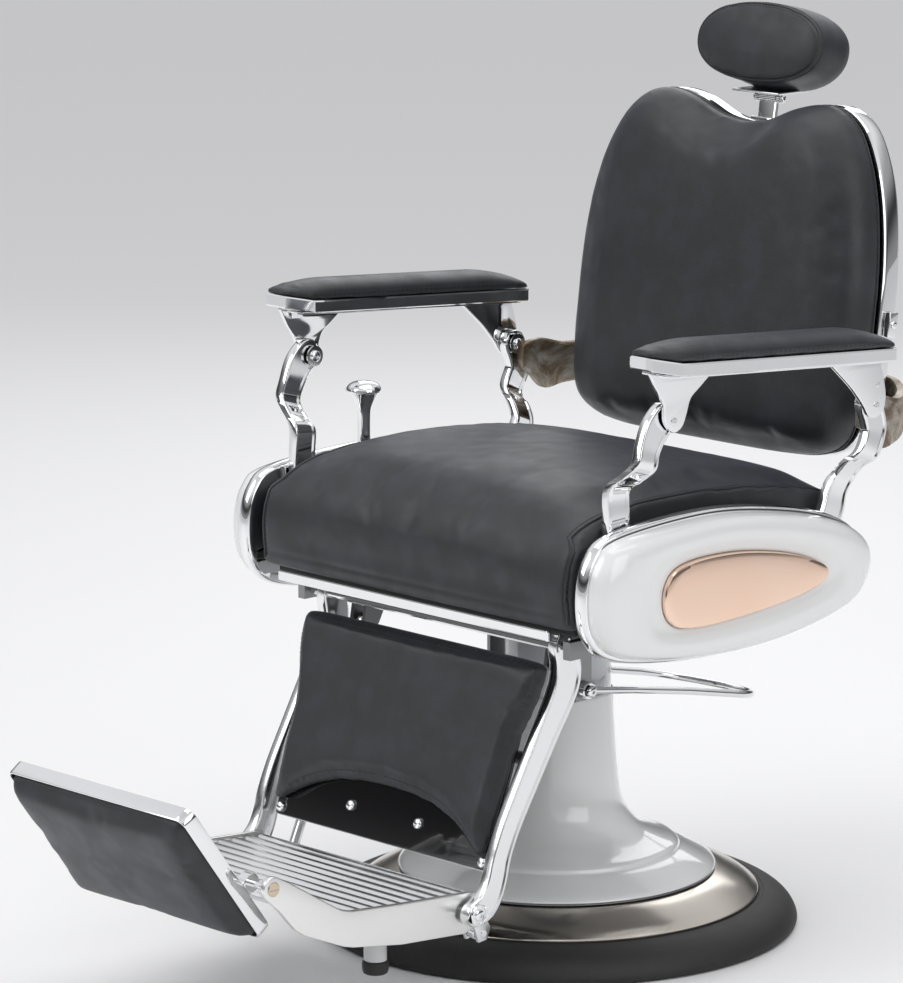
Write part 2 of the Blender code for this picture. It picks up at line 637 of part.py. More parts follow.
def make_arm_bracket():
    """Strip under the tray with a winged gusset and a pivot stud at each end."""
    rings = []
    for y in (-0.165, -0.1475, -0.120, -0.055, 0.190, 0.232):
        under = arm_top(y) - TRAY_HEIGHT - GAP
        rings.append([(0.300, y, under), (0.337, y, under),
                      (0.337, y, under - 0.004), (0.300, y, under - 0.004)])
    shapes = [loft("strip", rings, "chrome")]
    inner, outer = POST_HIGH_X + POST_THICKNESS / 2 + 0.0008, 0.3255

    def under(at):
        return arm_top(at) - TRAY_HEIGHT - GAP - 0.002
    wings = ((ARM_FRONT_PIVOT, [
        (-0.176, under(-0.176)), (-0.166, 0.743), (-0.152, 0.722), (-0.149, 0.700),
        (-0.135, 0.6862), (-0.1205, 0.692), (-0.113, 0.7068), (-0.106, 0.7243),
        (-0.091, 0.7355), (-0.070, under(-0.070))]),
             (ARM_REAR_PIVOT, [
        (0.139, under(0.139)), (0.175, 0.705), (0.190, 0.690), (0.203, 0.675),
        (0.213, 0.661), (0.226, 0.6585), (0.240, 0.667), (0.243, 0.690),
        (0.232, under(0.232))]))
    for (y, z), points in wings:
        along = [(at, under(at)) for at in (-0.120, -0.1475) if y < 0]
        outline = [*smooth_loop(points, 2, closed=False), *along]
        shapes.append(plate("gusset", outline, inner, outer, "chrome"))
        shapes.append(cross_rod("stud", POST_HIGH_X - 0.0075, inner + 0.002, (y, z),
                                PIN_RADIUS, "chrome"))
    mirrored(combine("armrest_bracket_left", "chrome", shapes), "armrest_bracket_right")


# ---------------------------------------------------------------- back
BACK_OUTLINE = half_to_full(smooth_loop([
    (0, -0.017), (0.120, -0.016), (0.190, -0.009), (0.228, 0.015), (0.241, 0.065),
    (0.246, 0.160), (0.243, 0.245), (0.230, 0.320), (0.209, 0.375), (0.182, 0.412),
    (0.142, 0.431), (0.095, 0.424), (0.045, 0.405), (0, 0.399)], 2, closed=False))
BACK_CENTRE = (0.0, 0.205)
BAND_REAR = 0.0400


def make_back():
    frame = back_frame()
    layered("back_cushion", BACK_OUTLINE[::1],
            [(0.010, 0.975), (-0.004, 1.0), (-0.030, 0.995), (-0.045, 0.95),
             (-0.055, 0.84), (-0.060, 0.60)], frame, "black_leather", BACK_CENTRE)
    wall = 0.986
    loops = [(0.010 + GAP, 0.993), (BAND_REAR - 0.004, 0.993), (BAND_REAR, 0.975),
             (BAND_REAR, wall - 0.022), (0.010 + GAP, wall - 0.010)]
    rings = [[frame @ Vector((x, y, w)) for x, y in scaled(BACK_OUTLINE, BACK_CENTRE, s, s)]
             for w, s in loops]
    band = loft("back_band", rings, "chrome", looped=True)
    slot = box("slot", (-0.0165, 0.34, 0.0290), (0.0165, 0.45, 0.0370), "chrome", at=frame)
    cut(band, slot)
    layered("back_panel", BACK_OUTLINE,
            [(BAND_REAR + GAP, 0.965), (0.0455, 0.965), (0.0490, 0.93), (0.0500, 0.70)],
            frame, "black_leather", BACK_CENTRE)
    guide = box("headrest_guide", (-0.022, 0.325, 0.0265), (0.022, 0.380, BAND_REAR), "steel",
                at=frame)
    channel = box("channel", (-0.0155, 0.30, 0.0295), (0.0155, 0.40, 0.0365), "steel", at=frame)
    cut(guide, channel)
    make_back_bracket()


def make_back_bracket():
    """Cast arm from the rear post round to the back's rear face."""
    def lean(share, z):
        return share * math.tan(BACK_LEAN) * (z - 0.64)

    stations = [(0.2953, 0.238, 0.636, 0.676, 0.0), (0.2953, 0.272, 0.606, 0.678, 0.0),
                (0.2885, 0.305, 0.604, 0.680, 0.3), (0.2660, 0.336, 0.608, 0.682, 0.8),
                (0.2350, 0.3530, 0.610, 0.682, 1.0), (0.2000, 0.3535, 0.610, 0.682, 1.0)]
    half = 0.006
    rings = []
    for i, (x, y, low, high, share) in enumerate(stations):
        ahead = stations[min(i + 1, len(stations) - 1)]
        behind = stations[max(i - 1, 0)]
        along = Vector((ahead[0] - behind[0], ahead[1] - behind[1])).normalized()
        nx, ny = along.y * half, -along.x * half
        rings.append([(x + nx, y + ny + lean(share, low), low),
                      (x + nx, y + ny + lean(share, high), high),
                      (x - nx, y - ny + lean(share, high), high),
                      (x - nx, y - ny + lean(share, low), low)])
    mirrored(loft("back_bracket_left", rings, "cast_aluminium"), "back_bracket_right")


def make_headrest():
    frame = back_frame()
    pivot = frame @ Vector((0, HEADREST_PIVOT_HEIGHT, HEADREST_BAR_DEPTH))
    place = (pivot.y, pivot.z)
    bar = box("bar", (-0.015, 0.200, 0.030), (0.015, HEADREST_PIVOT_HEIGHT - 0.003, 0.036),
              "chrome", at=frame)
    barrel = cross_rod("barrel", -0.0150, 0.0150, place, 0.0060, "chrome")
    combine("headrest_post", "chrome", [bar, barrel])
    shapes = []
    top = pivot.z + 0.0078
    shapes.append(box("mount", (-0.040, pivot.y - 0.028, top), (0.040, pivot.y + 0.028,
                                                                  top + 0.003), "chrome"))
    for side in (-1, 1):
        inner, outer = side * 0.0155, side * 0.0230
        low, high = sorted((inner, outer))
        shapes.append(cross_rod("knuckle", inner, outer, place, 0.0060, "chrome"))
        shapes.append(box("web", (low + 0.0002, pivot.y - 0.0045, pivot.z),
                          (high - 0.0002, pivot.y + 0.0045, top + 0.001), "chrome"))
    combine("headrest_bracket", "chrome", shapes)
    outline = smooth_loop([(0, -0.056), (0.060, -0.052), (0.095, -0.035), (0.112, 0.000),
                           (0.098, 0.036), (0.060, 0.053), (0, 0.056), (-0.060, 0.053),
                           (-0.098, 0.036), (-0.112, 0.000), (-0.095, -0.035),
                           (-0.060, -0.052)], 2)
    base = top + 0.003 + GAP
    middle = Matrix(((1, 0, 0, 0), (0, 0, 1, pivot.y + 0.007), (0, 1, 0, base + 0.056),
                     (0, 0, 0, 1)))
    layered("headrest_cushion", outline, [(-0.046, 0.72), (-0.041, 0.88), (-0.026, 0.975),
                                          (0, 1.0), (0.026, 0.97), (0.040, 0.86),
                                          (0.045, 0.66)], middle, "black_leather")


# ---------------------------------------------------------------- legrest
def make_legrest():
    frame = legrest_frame()
    outline = half_to_full(smooth_loop([
        (0, 0.196), (0.070, 0.202), (0.125, 0.219), (0.165, 0.238), (0.1855, 0.247),
        (0.1900, 0.225), (0.1945, 0.160), (0.1962, 0.105), (0.205, 0.075), (0.214, 0.040),
        (0.214, 0.012), (0.200, 0.0005), (0.100, 0), (0, 0)], 1, closed=False))
    layered("legrest_pad", outline, [(-0.0117, 0.985), (-0.006, 1.0), (0.001, 0.99),
                                     (0.007, 0.94), (0.010, 0.78)], frame, "black_leather",
            (0.0, 0.12))
    kick = box("kick_plate", (-0.188, 0.014, -0.0170), (0.188, 0.262, -0.0120), "black_gloss",
               0.0008, at=frame)
    heads = [(-0.18, 0.2525), (-0.06, 0.228), (0.06, 0.228), (0.18, 0.2525)]
    holes = [rod("hole", frame @ Vector((x, t, -0.03)), frame @ Vector((x, t, 0.01)),
                 0.0042, "steel", 12) for x, t in heads]
    cut(kick, *holes)
    strip = box("strip", (-0.186, 0.220, -0.0203), (0.186, 0.259, -0.0170 - GAP), "chrome",
                at=frame)
    shapes = [strip]
    for x, t in heads:
        shapes.append(rod("shank", frame @ Vector((x, t, -0.019)),
                          frame @ Vector((x, t, -0.009)), 0.0038, "chrome", 12))
        dome = turned("dome", [(0, 0.0045), (0.0030, 0.0040), (0.0055, 0.0022), (0.0065, 0),
                               (0, 0)], "chrome", 16)
        bm = evaluated_bmesh(dome)
        take_out(dome)
        bm.transform(Matrix.Translation((x, t, -0.0120 + GAP)))
        bm.transform(frame)
        shapes.append(add_mesh("dome", bm, "chrome"))
    combine("kick_plate_bolts", "chrome", shapes)
    rod("legrest_cross_tube", frame @ Vector((-0.1970, 0.12, -0.0290)),
        frame @ Vector((0.1970, 0.12, -0.0290)), 0.008, "steel")
    make_rail()


def make_rail():
    hy, hz = LEGREST_PIVOT
    fy, fz = FOOT_PIVOT
    path = [(RAIL_X, hy + 0.006, hz + 0.014), (RAIL_X, hy + 0.006, hz),
            (RAIL_X, -0.190, 0.395), (RAIL_X, -0.201, 0.362), (RAIL_X, -0.286, 0.220),
            (RAIL_X, -0.309, 0.165), (RAIL_X, -0.315, 0.140), (RAIL_X, -0.325, 0.122),
            (RAIL_X, fy, fz - 0.001), (RAIL_X, fy - 0.014, fz)]
    rail = bar_along("rail", path, [0.009, 0.014, 0.021, 0.0205, 0.0155, 0.0155, 0.0165, 0.017,
                                    0.016, 0.009], RAIL_THICKNESS, "polished_aluminium")
    bores = [cross_rod("bore", 0.18, 0.23, LEGREST_PIVOT, 0.006 + BORE_PLAY, "steel"),
             cross_rod("bore", 0.18, 0.23, FOOT_PIVOT, 0.006 + BORE_PLAY, "steel")]
    rail.name = "legrest_rail_left"
    mirrored(cut(rail, *bores), "legrest_rail_right")
    outer = RAIL_X + RAIL_THICKNESS / 2 + GAP
    shapes = [cross_rod("shaft", -outer - 0.001, outer + 0.001, FOOT_PIVOT, 0.006, "chrome")]
    shapes += [cross_rod("cap", side * outer, side * (outer + 0.004), FOOT_PIVOT, 0.0105,
                         "chrome") for side in (-1, 1)]
    combine("foot_shaft", "chrome", shapes)


def make_links():
    """Struts that keep the footplate level: parallel to the rails and as long."""
    top = (LEGREST_PIVOT[0] + LINK_OFFSET[0], LEGREST_PIVOT[1] + LINK_OFFSET[1])
    foot = (FOOT_PIVOT[0] + LINK_OFFSET[0], FOOT_PIVOT[1] + LINK_OFFSET[1])
    along = Vector((foot[0] - top[0], foot[1] - top[1])).normalized()

    def beyond(place, step):
        return (LINK_X, place[0] + along.x * step, place[1] + along.y * step)
    path = [beyond(top, -0.010), beyond(top, 0), beyond(top, 0.014), beyond(foot, -0.014),
            beyond(foot, 0), beyond(foot, 0.010)]
    link = bar_along("foot_link_left", path, [0.007, 0.0105, 0.006, 0.006, 0.0105, 0.007],
                     0.010, "chrome", 0.002)
    bores = [cross_rod("bore", 0.15, 0.19, place, PIN_RADIUS + BORE_PLAY, "steel")
             for place in (top, foot)]
    mirrored(cut(link, *bores), "foot_link_right")


# ---------------------------------------------------------------- footplate and flap
def make_footplate():
    """Casting: two cheeks, a ribbed tread, bumper legs and the link lugs."""
    fy, fz = FOOT_PIVOT
    py, pz = FLAP_PIVOT
    cheek = smooth_loop([(fy + 0.018, fz + 0.004), (fy + 0.006, fz + 0.020), (-0.450, 0.147),
                         (-0.540, 0.156), (-0.590, 0.180), (py + 0.004, pz + 0.0135),
                         (py - 0.0145, pz + 0.002), (py - 0.006, pz - 0.015), (-0.611, 0.142),
                         (-0.545, 0.113), (-0.453, 0.098), (fy - 0.010, fz - 0.026),
                         (fy + 0.012, fz - 0.016)], 2)
    shapes = []
    for side in (-1, 1):
        low, high = sorted((side * 0.1860, side * 0.1940))
        shapes.append(plate("cheek", cheek, low, high, "polished_aluminium"))
    shapes.append(make_tread())
    for side in (-1, 1):
        shapes.append(rod("leg", (side * 0.150, -0.455, 0.070), (side * 0.150, -0.455, 0.138),
                          0.014, "polished_aluminium"))
        ly, lz = fy + LINK_OFFSET[0], fz + LINK_OFFSET[1]
        lug = [(fy + 0.012, 0.1300), (fy + 0.021, 0.1325), (ly + 0.012, lz + 0.006),
               (ly + 0.006, lz - 0.009), (ly - 0.008, lz - 0.010), (ly - 0.0125, lz + 0.004),
               (fy + 0.011, fz - 0.008)]
        for offset in (-0.0130, 0.0080):
            x = side * LINK_X + offset
            shapes.append(plate("lug", lug, x, x + 0.005, "polished_aluminium"))
        shapes.append(cross_rod("pin", side * LINK_X - 0.010, side * LINK_X + 0.010, (ly, lz),
                                PIN_RADIUS, "steel"))
    casting = combine("footplate", "polished_aluminium", shapes)
    bores = [cross_rod("bore", -0.25, 0.25, FOOT_PIVOT, 0.006 + BORE_PLAY, "steel"),
             cross_rod("bore", -0.25, 0.25, FLAP_PIVOT, 0.004 + BORE_PLAY, "steel")]
    cut(casting, *bores)
    cap = turned("cap", [(0, 0.070 - GAP), (0.0145, 0.070 - GAP), (0.016, 0.066), (0.016, 0.058),
                         (0.013, 0.054), (0, 0.054)], "rubber", 20)
    bm = evaluated_bmesh(cap)
    take_out(cap)
    bm.transform(Matrix.Translation((0.150, -0.455, 0)))
    mirrored(add_mesh("foot_bumper_left", bm, "rubber"), "foot_bumper_right")


def make_tread():
    """The tread's section: a bent slab with ribs across it, drawn out along X."""
    def surface(y):
        return 0.1325 - (y + 0.325) * 0.075 if y > -0.540 else 0.1486 - (y + 0.540) * 0.36
    rear, front, ribs = -0.327, -0.625, 14
    pitch = (rear - front) / ribs
    top = []
    for k in range(ribs):
        y = rear - k * pitch
        for share, height in ((0.10, 0), (0.28, 0.003), (0.62, 0.003), (0.80, 0)):
            at = y - share * pitch
            top.append((at, surface(at) + height))
    under = [(front, surface(front) - 0.006), (-0.540, surface(-0.540) - 0.006),
             (rear, surface(rear) - 0.006)]
    return plate("tread", top + under, -0.1865, 0.1865, "polished_aluminium")


def make_flap():
    """Flip-over foot panel: metal tray on its upper face, padded on the other."""
    frame = flap_frame_axes()
    half = FLAP_HALF_WIDTH
    tray = box("tray", (-half, 0, -0.004), (half, FLAP_LENGTH, 0.004), "chrome", 0.0015, at=frame)
    shapes = [tray]
    py, pz = FLAP_PIVOT
    local = frame.inverted() @ Vector((0, py, pz))
    for side in (-1, 1):
        low, high = sorted((side * 0.146, side * 0.154))
        lug = box("lug", (low, local.y - 0.012, 0.002), (high, local.y + 0.012, local.z), "chrome",
                  at=frame)
        shapes += [lug, cross_rod("eye", low, high, FLAP_PIVOT, 0.0118, "chrome")]
    shapes.append(cross_rod("pin", -0.1935, 0.1935, FLAP_PIVOT, 0.004, "chrome"))
    combine("flap_tray", "chrome", shapes)
    corner = 0.020
    w, top = half - 0.003, FLAP_LENGTH - 0.003
    outline = smooth_loop([(0, 0.003), (w - corner, 0.003), (w - 0.004, 0.010), (w, 0.003 + corner),
                           (w, top - corner), (w - 0.004, top - 0.007), (w - corner, top),
                           (0, top), (-w + corner, top), (-w + 0.004, top - 0.007),
                           (-w, top - corner), (-w, 0.003 + corner), (-w + 0.004, 0.010),
                           (-w + corner, 0.003)], 1)
    layered("flap_pad", outline, [(-0.004 - GAP, 1.0), (-0.014, 1.0), (-0.026, 0.94),
                                  (-0.033, 0.80), (-0.036, 0.55)], frame, "black_leather",
            (0.0, FLAP_LENGTH / 2))


# ---------------------------------------------------------------- the chair
clear_scene()
CHAIR = new_collection("barber_chair")
make_base()
make_lift()
make_pump_handle()
make_side_panel()
make_seat_frame()
make_side_frame()
make_seat_cushion()
make_lever()
make_posts()
make_arm()
make_back()
make_headrest()
make_legrest()
make_links()
make_footplate()
make_flap()
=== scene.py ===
"""Finished looks of a hydraulic barber chair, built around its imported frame.

Metres, +Z up. The sitter faces -Y and the sitter's left is +X.
"""
import json
import logging
import math
from dataclasses import dataclass, field
from enum import Enum
from typing import Callable, Iterable, Optional, Sequence, Union

import bmesh
import bpy
import numpy as np
from mathutils import Matrix, Vector
from mathutils.bvhtree import BVHTree
from mathutils.kdtree import KDTree

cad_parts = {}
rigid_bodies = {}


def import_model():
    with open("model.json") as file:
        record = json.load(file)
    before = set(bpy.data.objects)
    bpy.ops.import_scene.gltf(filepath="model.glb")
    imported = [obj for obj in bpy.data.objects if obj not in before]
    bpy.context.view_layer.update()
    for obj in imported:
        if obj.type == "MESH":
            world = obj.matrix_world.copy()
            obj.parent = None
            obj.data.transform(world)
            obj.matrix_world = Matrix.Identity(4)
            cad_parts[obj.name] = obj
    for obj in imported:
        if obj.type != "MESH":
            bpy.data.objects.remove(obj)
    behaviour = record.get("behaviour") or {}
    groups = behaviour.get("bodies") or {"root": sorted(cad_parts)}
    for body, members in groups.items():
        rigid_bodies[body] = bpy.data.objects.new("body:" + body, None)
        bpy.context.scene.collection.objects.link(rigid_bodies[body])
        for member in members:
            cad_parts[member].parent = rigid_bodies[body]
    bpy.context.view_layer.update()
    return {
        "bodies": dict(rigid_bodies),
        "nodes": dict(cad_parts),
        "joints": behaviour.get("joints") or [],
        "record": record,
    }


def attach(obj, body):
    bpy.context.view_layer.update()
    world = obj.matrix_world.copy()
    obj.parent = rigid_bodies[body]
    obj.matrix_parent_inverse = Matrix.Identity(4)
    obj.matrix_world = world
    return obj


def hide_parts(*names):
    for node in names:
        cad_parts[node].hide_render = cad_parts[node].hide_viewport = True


log = logging.getLogger("barber_chair")

Colour = tuple[float, float, float]
Points = Sequence[Sequence[float]]


# ---------------------------------------------------------------- shader maths
class Value:
    """A node's output with arithmetic: every operator adds a Math node."""

    def __init__(self, board: "Board", socket: bpy.types.NodeSocket) -> None:
        """Wrap one output socket.

        Args:
            board: the node board that the socket is on.
            socket: the output socket.
        """
        self.board = board
        self.socket = socket

    def _maths(self, operation: str, first: object, second: object) -> "Value":
        """Add one Math node.

        Args:
            operation: the node's operation.
            first: a number or a Value.
            second: a number or a Value.

        Returns:
            The node's result.
        """
        settings = {"operation": operation}
        return self.board.node("ShaderNodeMath", settings, {0: first, 1: second})

    def __add__(self, other: object) -> "Value":
        """Sum."""
        return self._maths("ADD", self, other)

    __radd__ = __add__

    def __mul__(self, other: object) -> "Value":
        """Product."""
        return self._maths("MULTIPLY", self, other)

    __rmul__ = __mul__

    def __sub__(self, other: object) -> "Value":
        """Difference."""
        return self._maths("SUBTRACT", self, other)

    def __rsub__(self, other: object) -> "Value":
        """Difference from a number."""
        return self._maths("SUBTRACT", other, self)

    def __pow__(self, other: object) -> "Value":
        """Power."""
        return self._maths("POWER", self, other)

    def absolute(self) -> "Value":
        """The value without its sign."""
        return self.board.node("ShaderNodeMath", {"operation": "ABSOLUTE"}, {0: self})

    def step(self, low: float, high: float) -> "Value":
        """Rise smoothly from 0 at low to 1 at high.

        Args:
            low: where the result is still 0.
            high: where the result reaches 1.

        Returns:
            The eased value.
        """
        settings = {"interpolation_type": "SMOOTHSTEP"}
        values = {"Value": self, "From Min": low, "From Max": high}
        return self.board.node("ShaderNodeMapRange", settings, values)


class Board:
    """The nodes of one material, around its Principled shader."""

    def __init__(self, name: str) -> None:
        """Make the material.

        Args:
            name: the material's name.
        """
        self.material = bpy.data.materials.new(name)
        self.material.use_nodes = True
        self.tree = self.material.node_tree
        self.shader = self.tree.nodes["Principled BSDF"]

    def node(self, kind: str, settings: Optional[dict] = None,
             values: Optional[dict] = None, output: Union[int, str] = 0) -> Value:
        """Add any node.

        Args:
            kind: the node's type.
            settings: its properties; "stops" holds a ramp's stops.
            values: numbers, colours or Values for its sockets, by name or number.
            output: the output to give back.

        Returns:
            The chosen output.
        """
        made = self.tree.nodes.new(kind)
        for key, setting in (settings or {}).items():
            if key == "stops":
                self._stops(made.color_ramp, setting)
            else:
                setattr(made, key, setting)
        for key, given in (values or {}).items():
            if isinstance(given, Value):
                self.tree.links.new(given.socket, made.inputs[key])
            else:
                made.inputs[key].default_value = given
        return Value(self, made.outputs[output])

    @staticmethod
    def _stops(ramp: bpy.types.ColorRamp, stops: Iterable[tuple[float, Colour]]) -> None:
        """Set a ramp's stops, given as (place, colour)."""
        for index, (place, colour) in enumerate(stops):
            stop = ramp.elements[index] if index < 2 else ramp.elements.new(place)
            stop.position = place
            stop.color = (*colour, 1.0)

    def coords(self, scale: Sequence[float] = (1.0, 1.0, 1.0),
               turn: Sequence[float] = (0.0, 0.0, 0.0)) -> Value:
        """Object coordinates, stretched and turned by a Mapping node."""
        place = self.node("ShaderNodeTexCoord", output="Object")
        values = {"Vector": place, "Scale": scale, "Rotation": turn}
        return self.node("ShaderNodeMapping", {}, values)

    def noise(self, scale: float, detail: float = 3.0, roughness: float = 0.5,
              vector: Optional[Value] = None, distortion: float = 0.0) -> Value:
        """Fractal noise, from 0 to 1, on object coordinates or a given vector."""
        values = {"Vector": vector or self.coords(), "Scale": scale, "Detail": detail,
                  "Roughness": roughness, "Distortion": distortion}
        return self.node("ShaderNodeTexNoise", {}, values)

    def cells(self, scale: float, feature: str, vector: Value, output: str = "Distance") -> Value:
        """Voronoi cells, for grain and grit."""
        return self.node("ShaderNodeTexVoronoi", {"feature": feature},
                         {"Vector": vector, "Scale": scale}, output)

    def mix(self, factor: object, first: object, second: object) -> Value:
        """Blend two colours."""
        def paint(given: object) -> object:
            """Give a plain colour its alpha."""
            return given if isinstance(given, Value) else (*given, 1.0)
        values = {0: factor, 6: paint(first), 7: paint(second)}
        return self.node("ShaderNodeMix", {"data_type": "RGBA"}, values, 2)

    def bump(self, height: Value, strength: float, distance: float,
             normal: Optional[Value] = None) -> Value:
        """Turn a height into a bumped normal, over another one if it is given."""
        values = {"Height": height, "Strength": strength, "Distance": distance}
        if normal:
            values["Normal"] = normal
        return self.node("ShaderNodeBump", {}, values)

    def dress(self, **sockets: object) -> None:
        """Set or link the shader's sockets; an underscore stands for a space.

        Args:
            sockets: numbers, colours or Values by socket name.
        """
        for key, given in sockets.items():
            socket = self.shader.inputs[key.replace("_", " ")]
            if isinstance(given, Value):
                self.tree.links.new(given.socket, socket)
            elif isinstance(given, tuple):
                socket.default_value = (*given, 1.0)
            else:
                socket.default_value = given


# ---------------------------------------------------------------- finishes
@dataclass(frozen=True)
class Finish:
    """A surface finish: its colour, gloss and the detail that each kind adds."""

    name: str
    colour: Colour
    roughness: float

    def paint(self, board: Board) -> None:
        """Set the shader's sockets. Each kind of finish has its own."""
        raise NotImplementedError

    def material(self) -> bpy.types.Material:
        """The finish's material, made once.

        Returns:
            The material.
        """
        found = bpy.data.materials.get(f"finish_{self.name}")
        if found is None:
            board = Board(f"finish_{self.name}")
            self.paint(board)
            found = board.material
        return found


@dataclass(frozen=True)
class Plated(Finish):
    """Chrome plate: mirror bright, with faint smears and a slow wave."""

    smear: float = 0.07

    def paint(self, board: Board) -> None:
        """Set a metal with smears in its roughness."""
        cloud = board.noise(9.0, 4.0, 0.6, distortion=0.4)
        dust = board.noise(260.0, 2.0)
        gloss = cloud.step(0.45, 0.85) * self.smear + dust * 0.02 + self.roughness
        shade = board.mix(cloud.step(0.3, 0.8), self.colour,
                          tuple(c * 0.955 for c in self.colour))
        board.dress(Base_Color=shade, Metallic=1.0, Roughness=gloss,
                    Normal=board.bump(board.noise(16.0, 1.0), 0.05, 0.001))


@dataclass(frozen=True)
class Brushed(Finish):
    """Metal with fine scratches along one direction."""

    grain: tuple[float, float, float] = (6.0, 700.0, 700.0)
    depth: float = 0.00006
    tone: float = 0.10

    def paint(self, board: Board) -> None:
        """Stretch noise along the grain for colour, gloss and bump."""
        lines = board.noise(1.0, 3.0, 0.6, board.coords(self.grain))
        cloud = board.noise(7.0, 3.0)
        dark = tuple(c * (1.0 - self.tone) for c in self.colour)
        board.dress(Base_Color=board.mix(lines * 0.6 + cloud * 0.4, dark, self.colour),
                    Metallic=1.0, Roughness=lines * 0.12 + cloud * 0.10 + (self.roughness - 0.1),
                    Normal=board.bump(lines, 0.25, self.depth))


@dataclass(frozen=True)
class Cast(Finish):
    """Sand-cast metal: gritty, with brown stains in its hollows."""

    stain: Colour = (0.20, 0.15, 0.10)

    def paint(self, board: Board) -> None:
        """Mix stains over the metal and add a coarse grit."""
        place = board.coords()
        blotch = board.noise(26.0, 5.0, 0.65, distortion=0.6)
        grit = board.noise(420.0, 3.0, 0.7)
        pit = board.cells(300.0, "F1", place)
        normal = board.bump(board.noise(70.0, 3.0), 0.6, 0.0009)
        normal = board.bump(grit + pit * 0.6, 0.75, 0.00045, normal)
        board.dress(Base_Color=board.mix(blotch.step(0.38, 0.66), self.stain, self.colour),
                    Metallic=0.85, Roughness=grit * 0.22 + self.roughness, Normal=normal)


@dataclass(frozen=True)
class Leather(Finish):
    """Fine-grained upholstery leather with soft creases and a cool sheen."""

    grain: float = 620.0
    crease: float = 9.0
    crease_depth: float = 0.0004
    lift: Colour = (0.030, 0.033, 0.040)

    def paint(self, board: Board) -> None:
        """Grain cells, creases that wander, and worn patches."""
        wander = board.noise(28.0, 2.0)
        place = board.coords()
        cells = board.cells(self.grain, "DISTANCE_TO_EDGE", place)
        grain = cells.step(0.0, 0.22)
        pores = board.noise(1500.0, 2.0, 0.6)
        folds = board.noise(self.crease, 3.0, 0.55, board.coords((1.0, 0.55, 0.75)), distortion=0.2)
        ridge = 1.0 - (folds - 0.5).absolute() * 7.0
        crease = ridge.step(0.55, 1.0)
        worn = wander.step(0.35, 0.75)
        shade = board.mix(worn * 0.55 + grain * 0.2, self.colour, self.lift)
        normal = board.bump(crease * -1.0 + 1.0, 0.12, self.crease_depth)
        normal = board.bump(grain * 0.8 + pores * 0.35, 0.42, 0.00022, normal)
        board.dress(Base_Color=shade, Normal=normal, Specular_IOR_Level=0.55,
                    Roughness=worn * -0.07 + pores * 0.08 + crease * 0.05 + self.roughness,
                    Sheen_Weight=0.10, Sheen_Roughness=0.45, Sheen_Tint=(0.72, 0.80, 1.0))


@dataclass(frozen=True)
class Enamel(Finish):
    """Glossy paint over metal, with the faint orange peel of a spray gun."""

    peel: float = 0.00012
    shift: float = 0.03

    def paint(self, board: Board) -> None:
        """A coated paint whose tone and gloss drift a little."""
        drift = board.noise(5.0, 3.0)
        peel = board.noise(150.0, 2.0)
        cooler = tuple(c * (1.0 - self.shift) for c in self.colour)
        board.dress(Base_Color=board.mix(drift, self.colour, cooler), Metallic=0.0,
                    Roughness=board.noise(40.0, 3.0) * 0.06 + self.roughness,
                    Coat_Weight=0.9, Coat_Roughness=0.03,
                    Normal=board.bump(peel, 0.10, self.peel))


@dataclass(frozen=True)
class Copper(Finish):
    """Polished copper-coloured metal under clear lacquer."""

    def paint(self, board: Board) -> None:
        """Warm metal with a slow drift of tone and fine polish lines."""
        drift = board.noise(11.0, 3.0, distortion=0.5)
        lines = board.noise(1.0, 2.0, 0.5, board.coords((500.0, 14.0, 500.0)))
        board.dress(Base_Color=board.mix(drift, self.colour, (0.96, 0.74, 0.60)),
                    Metallic=0.92, Roughness=lines * 0.05 + self.roughness,
                    Coat_Weight=0.6, Coat_Roughness=0.04,
                    Normal=board.bump(drift, 0.06, 0.001))


@dataclass(frozen=True)
class Moulded(Finish):
    """Matt moulded rubber or plastic: speckled, a little dusty."""

    dust: Colour = (0.060, 0.056, 0.050)

    def paint(self, board: Board) -> None:
        """Speckle the bump and lay faint dust over the colour."""
        speck = board.noise(520.0, 2.0, 0.6)
        patch = board.noise(14.0, 4.0, 0.65)
        board.dress(Base_Color=board.mix(patch.step(0.50, 0.85) * 0.5, self.colour, self.dust),
                    Metallic=0.0, Roughness=patch * 0.16 + self.roughness,
                    Normal=board.bump(speck, 0.35, 0.0002))


@dataclass(frozen=True)
class Wood(Finish):
    """Plain birch plywood."""

    def paint(self, board: Board) -> None:
        """Long grain lines in two browns."""
        lines = board.noise(1.0, 4.0, 0.6, board.coords((14.0, 120.0, 260.0)))
        board.dress(Base_Color=board.mix(lines.step(0.3, 0.7), self.colour,
                                         tuple(c * 0.62 for c in self.colour)),
                    Metallic=0.0, Roughness=lines * 0.15 + self.roughness,
                    Normal=board.bump(lines, 0.3, 0.0003))


CHROME = Plated("chrome", (0.88, 0.89, 0.90), 0.035)
SCREW = Plated("screw", (0.66, 0.56, 0.44), 0.18)
SATIN = Brushed("satin_aluminium", (0.90, 0.90, 0.885), 0.30, (7.0, 90.0, 900.0))
POLISHED = Brushed("polished_aluminium", (0.90, 0.91, 0.92), 0.17, (5.0, 800.0, 800.0))
DISH = Brushed("stainless_dish", (0.62, 0.58, 0.52), 0.16, (900.0, 900.0, 12.0))
STEEL = Brushed("steel", (0.34, 0.34, 0.35), 0.42)
CAST = Cast("cast_aluminium", (0.56, 0.52, 0.46), 0.38)
CAST_IRON = Cast("cast_iron", (0.09, 0.09, 0.09), 0.55, (0.05, 0.04, 0.03))
BLACK_LEATHER = Leather("black_leather", (0.0135, 0.0142, 0.0165), 0.40)
PIPING = Leather("black_piping", (0.012, 0.012, 0.014), 0.36, 900.0, 40.0, 0.0003)
THREAD = Moulded("black_thread", (0.035, 0.036, 0.040), 0.50)
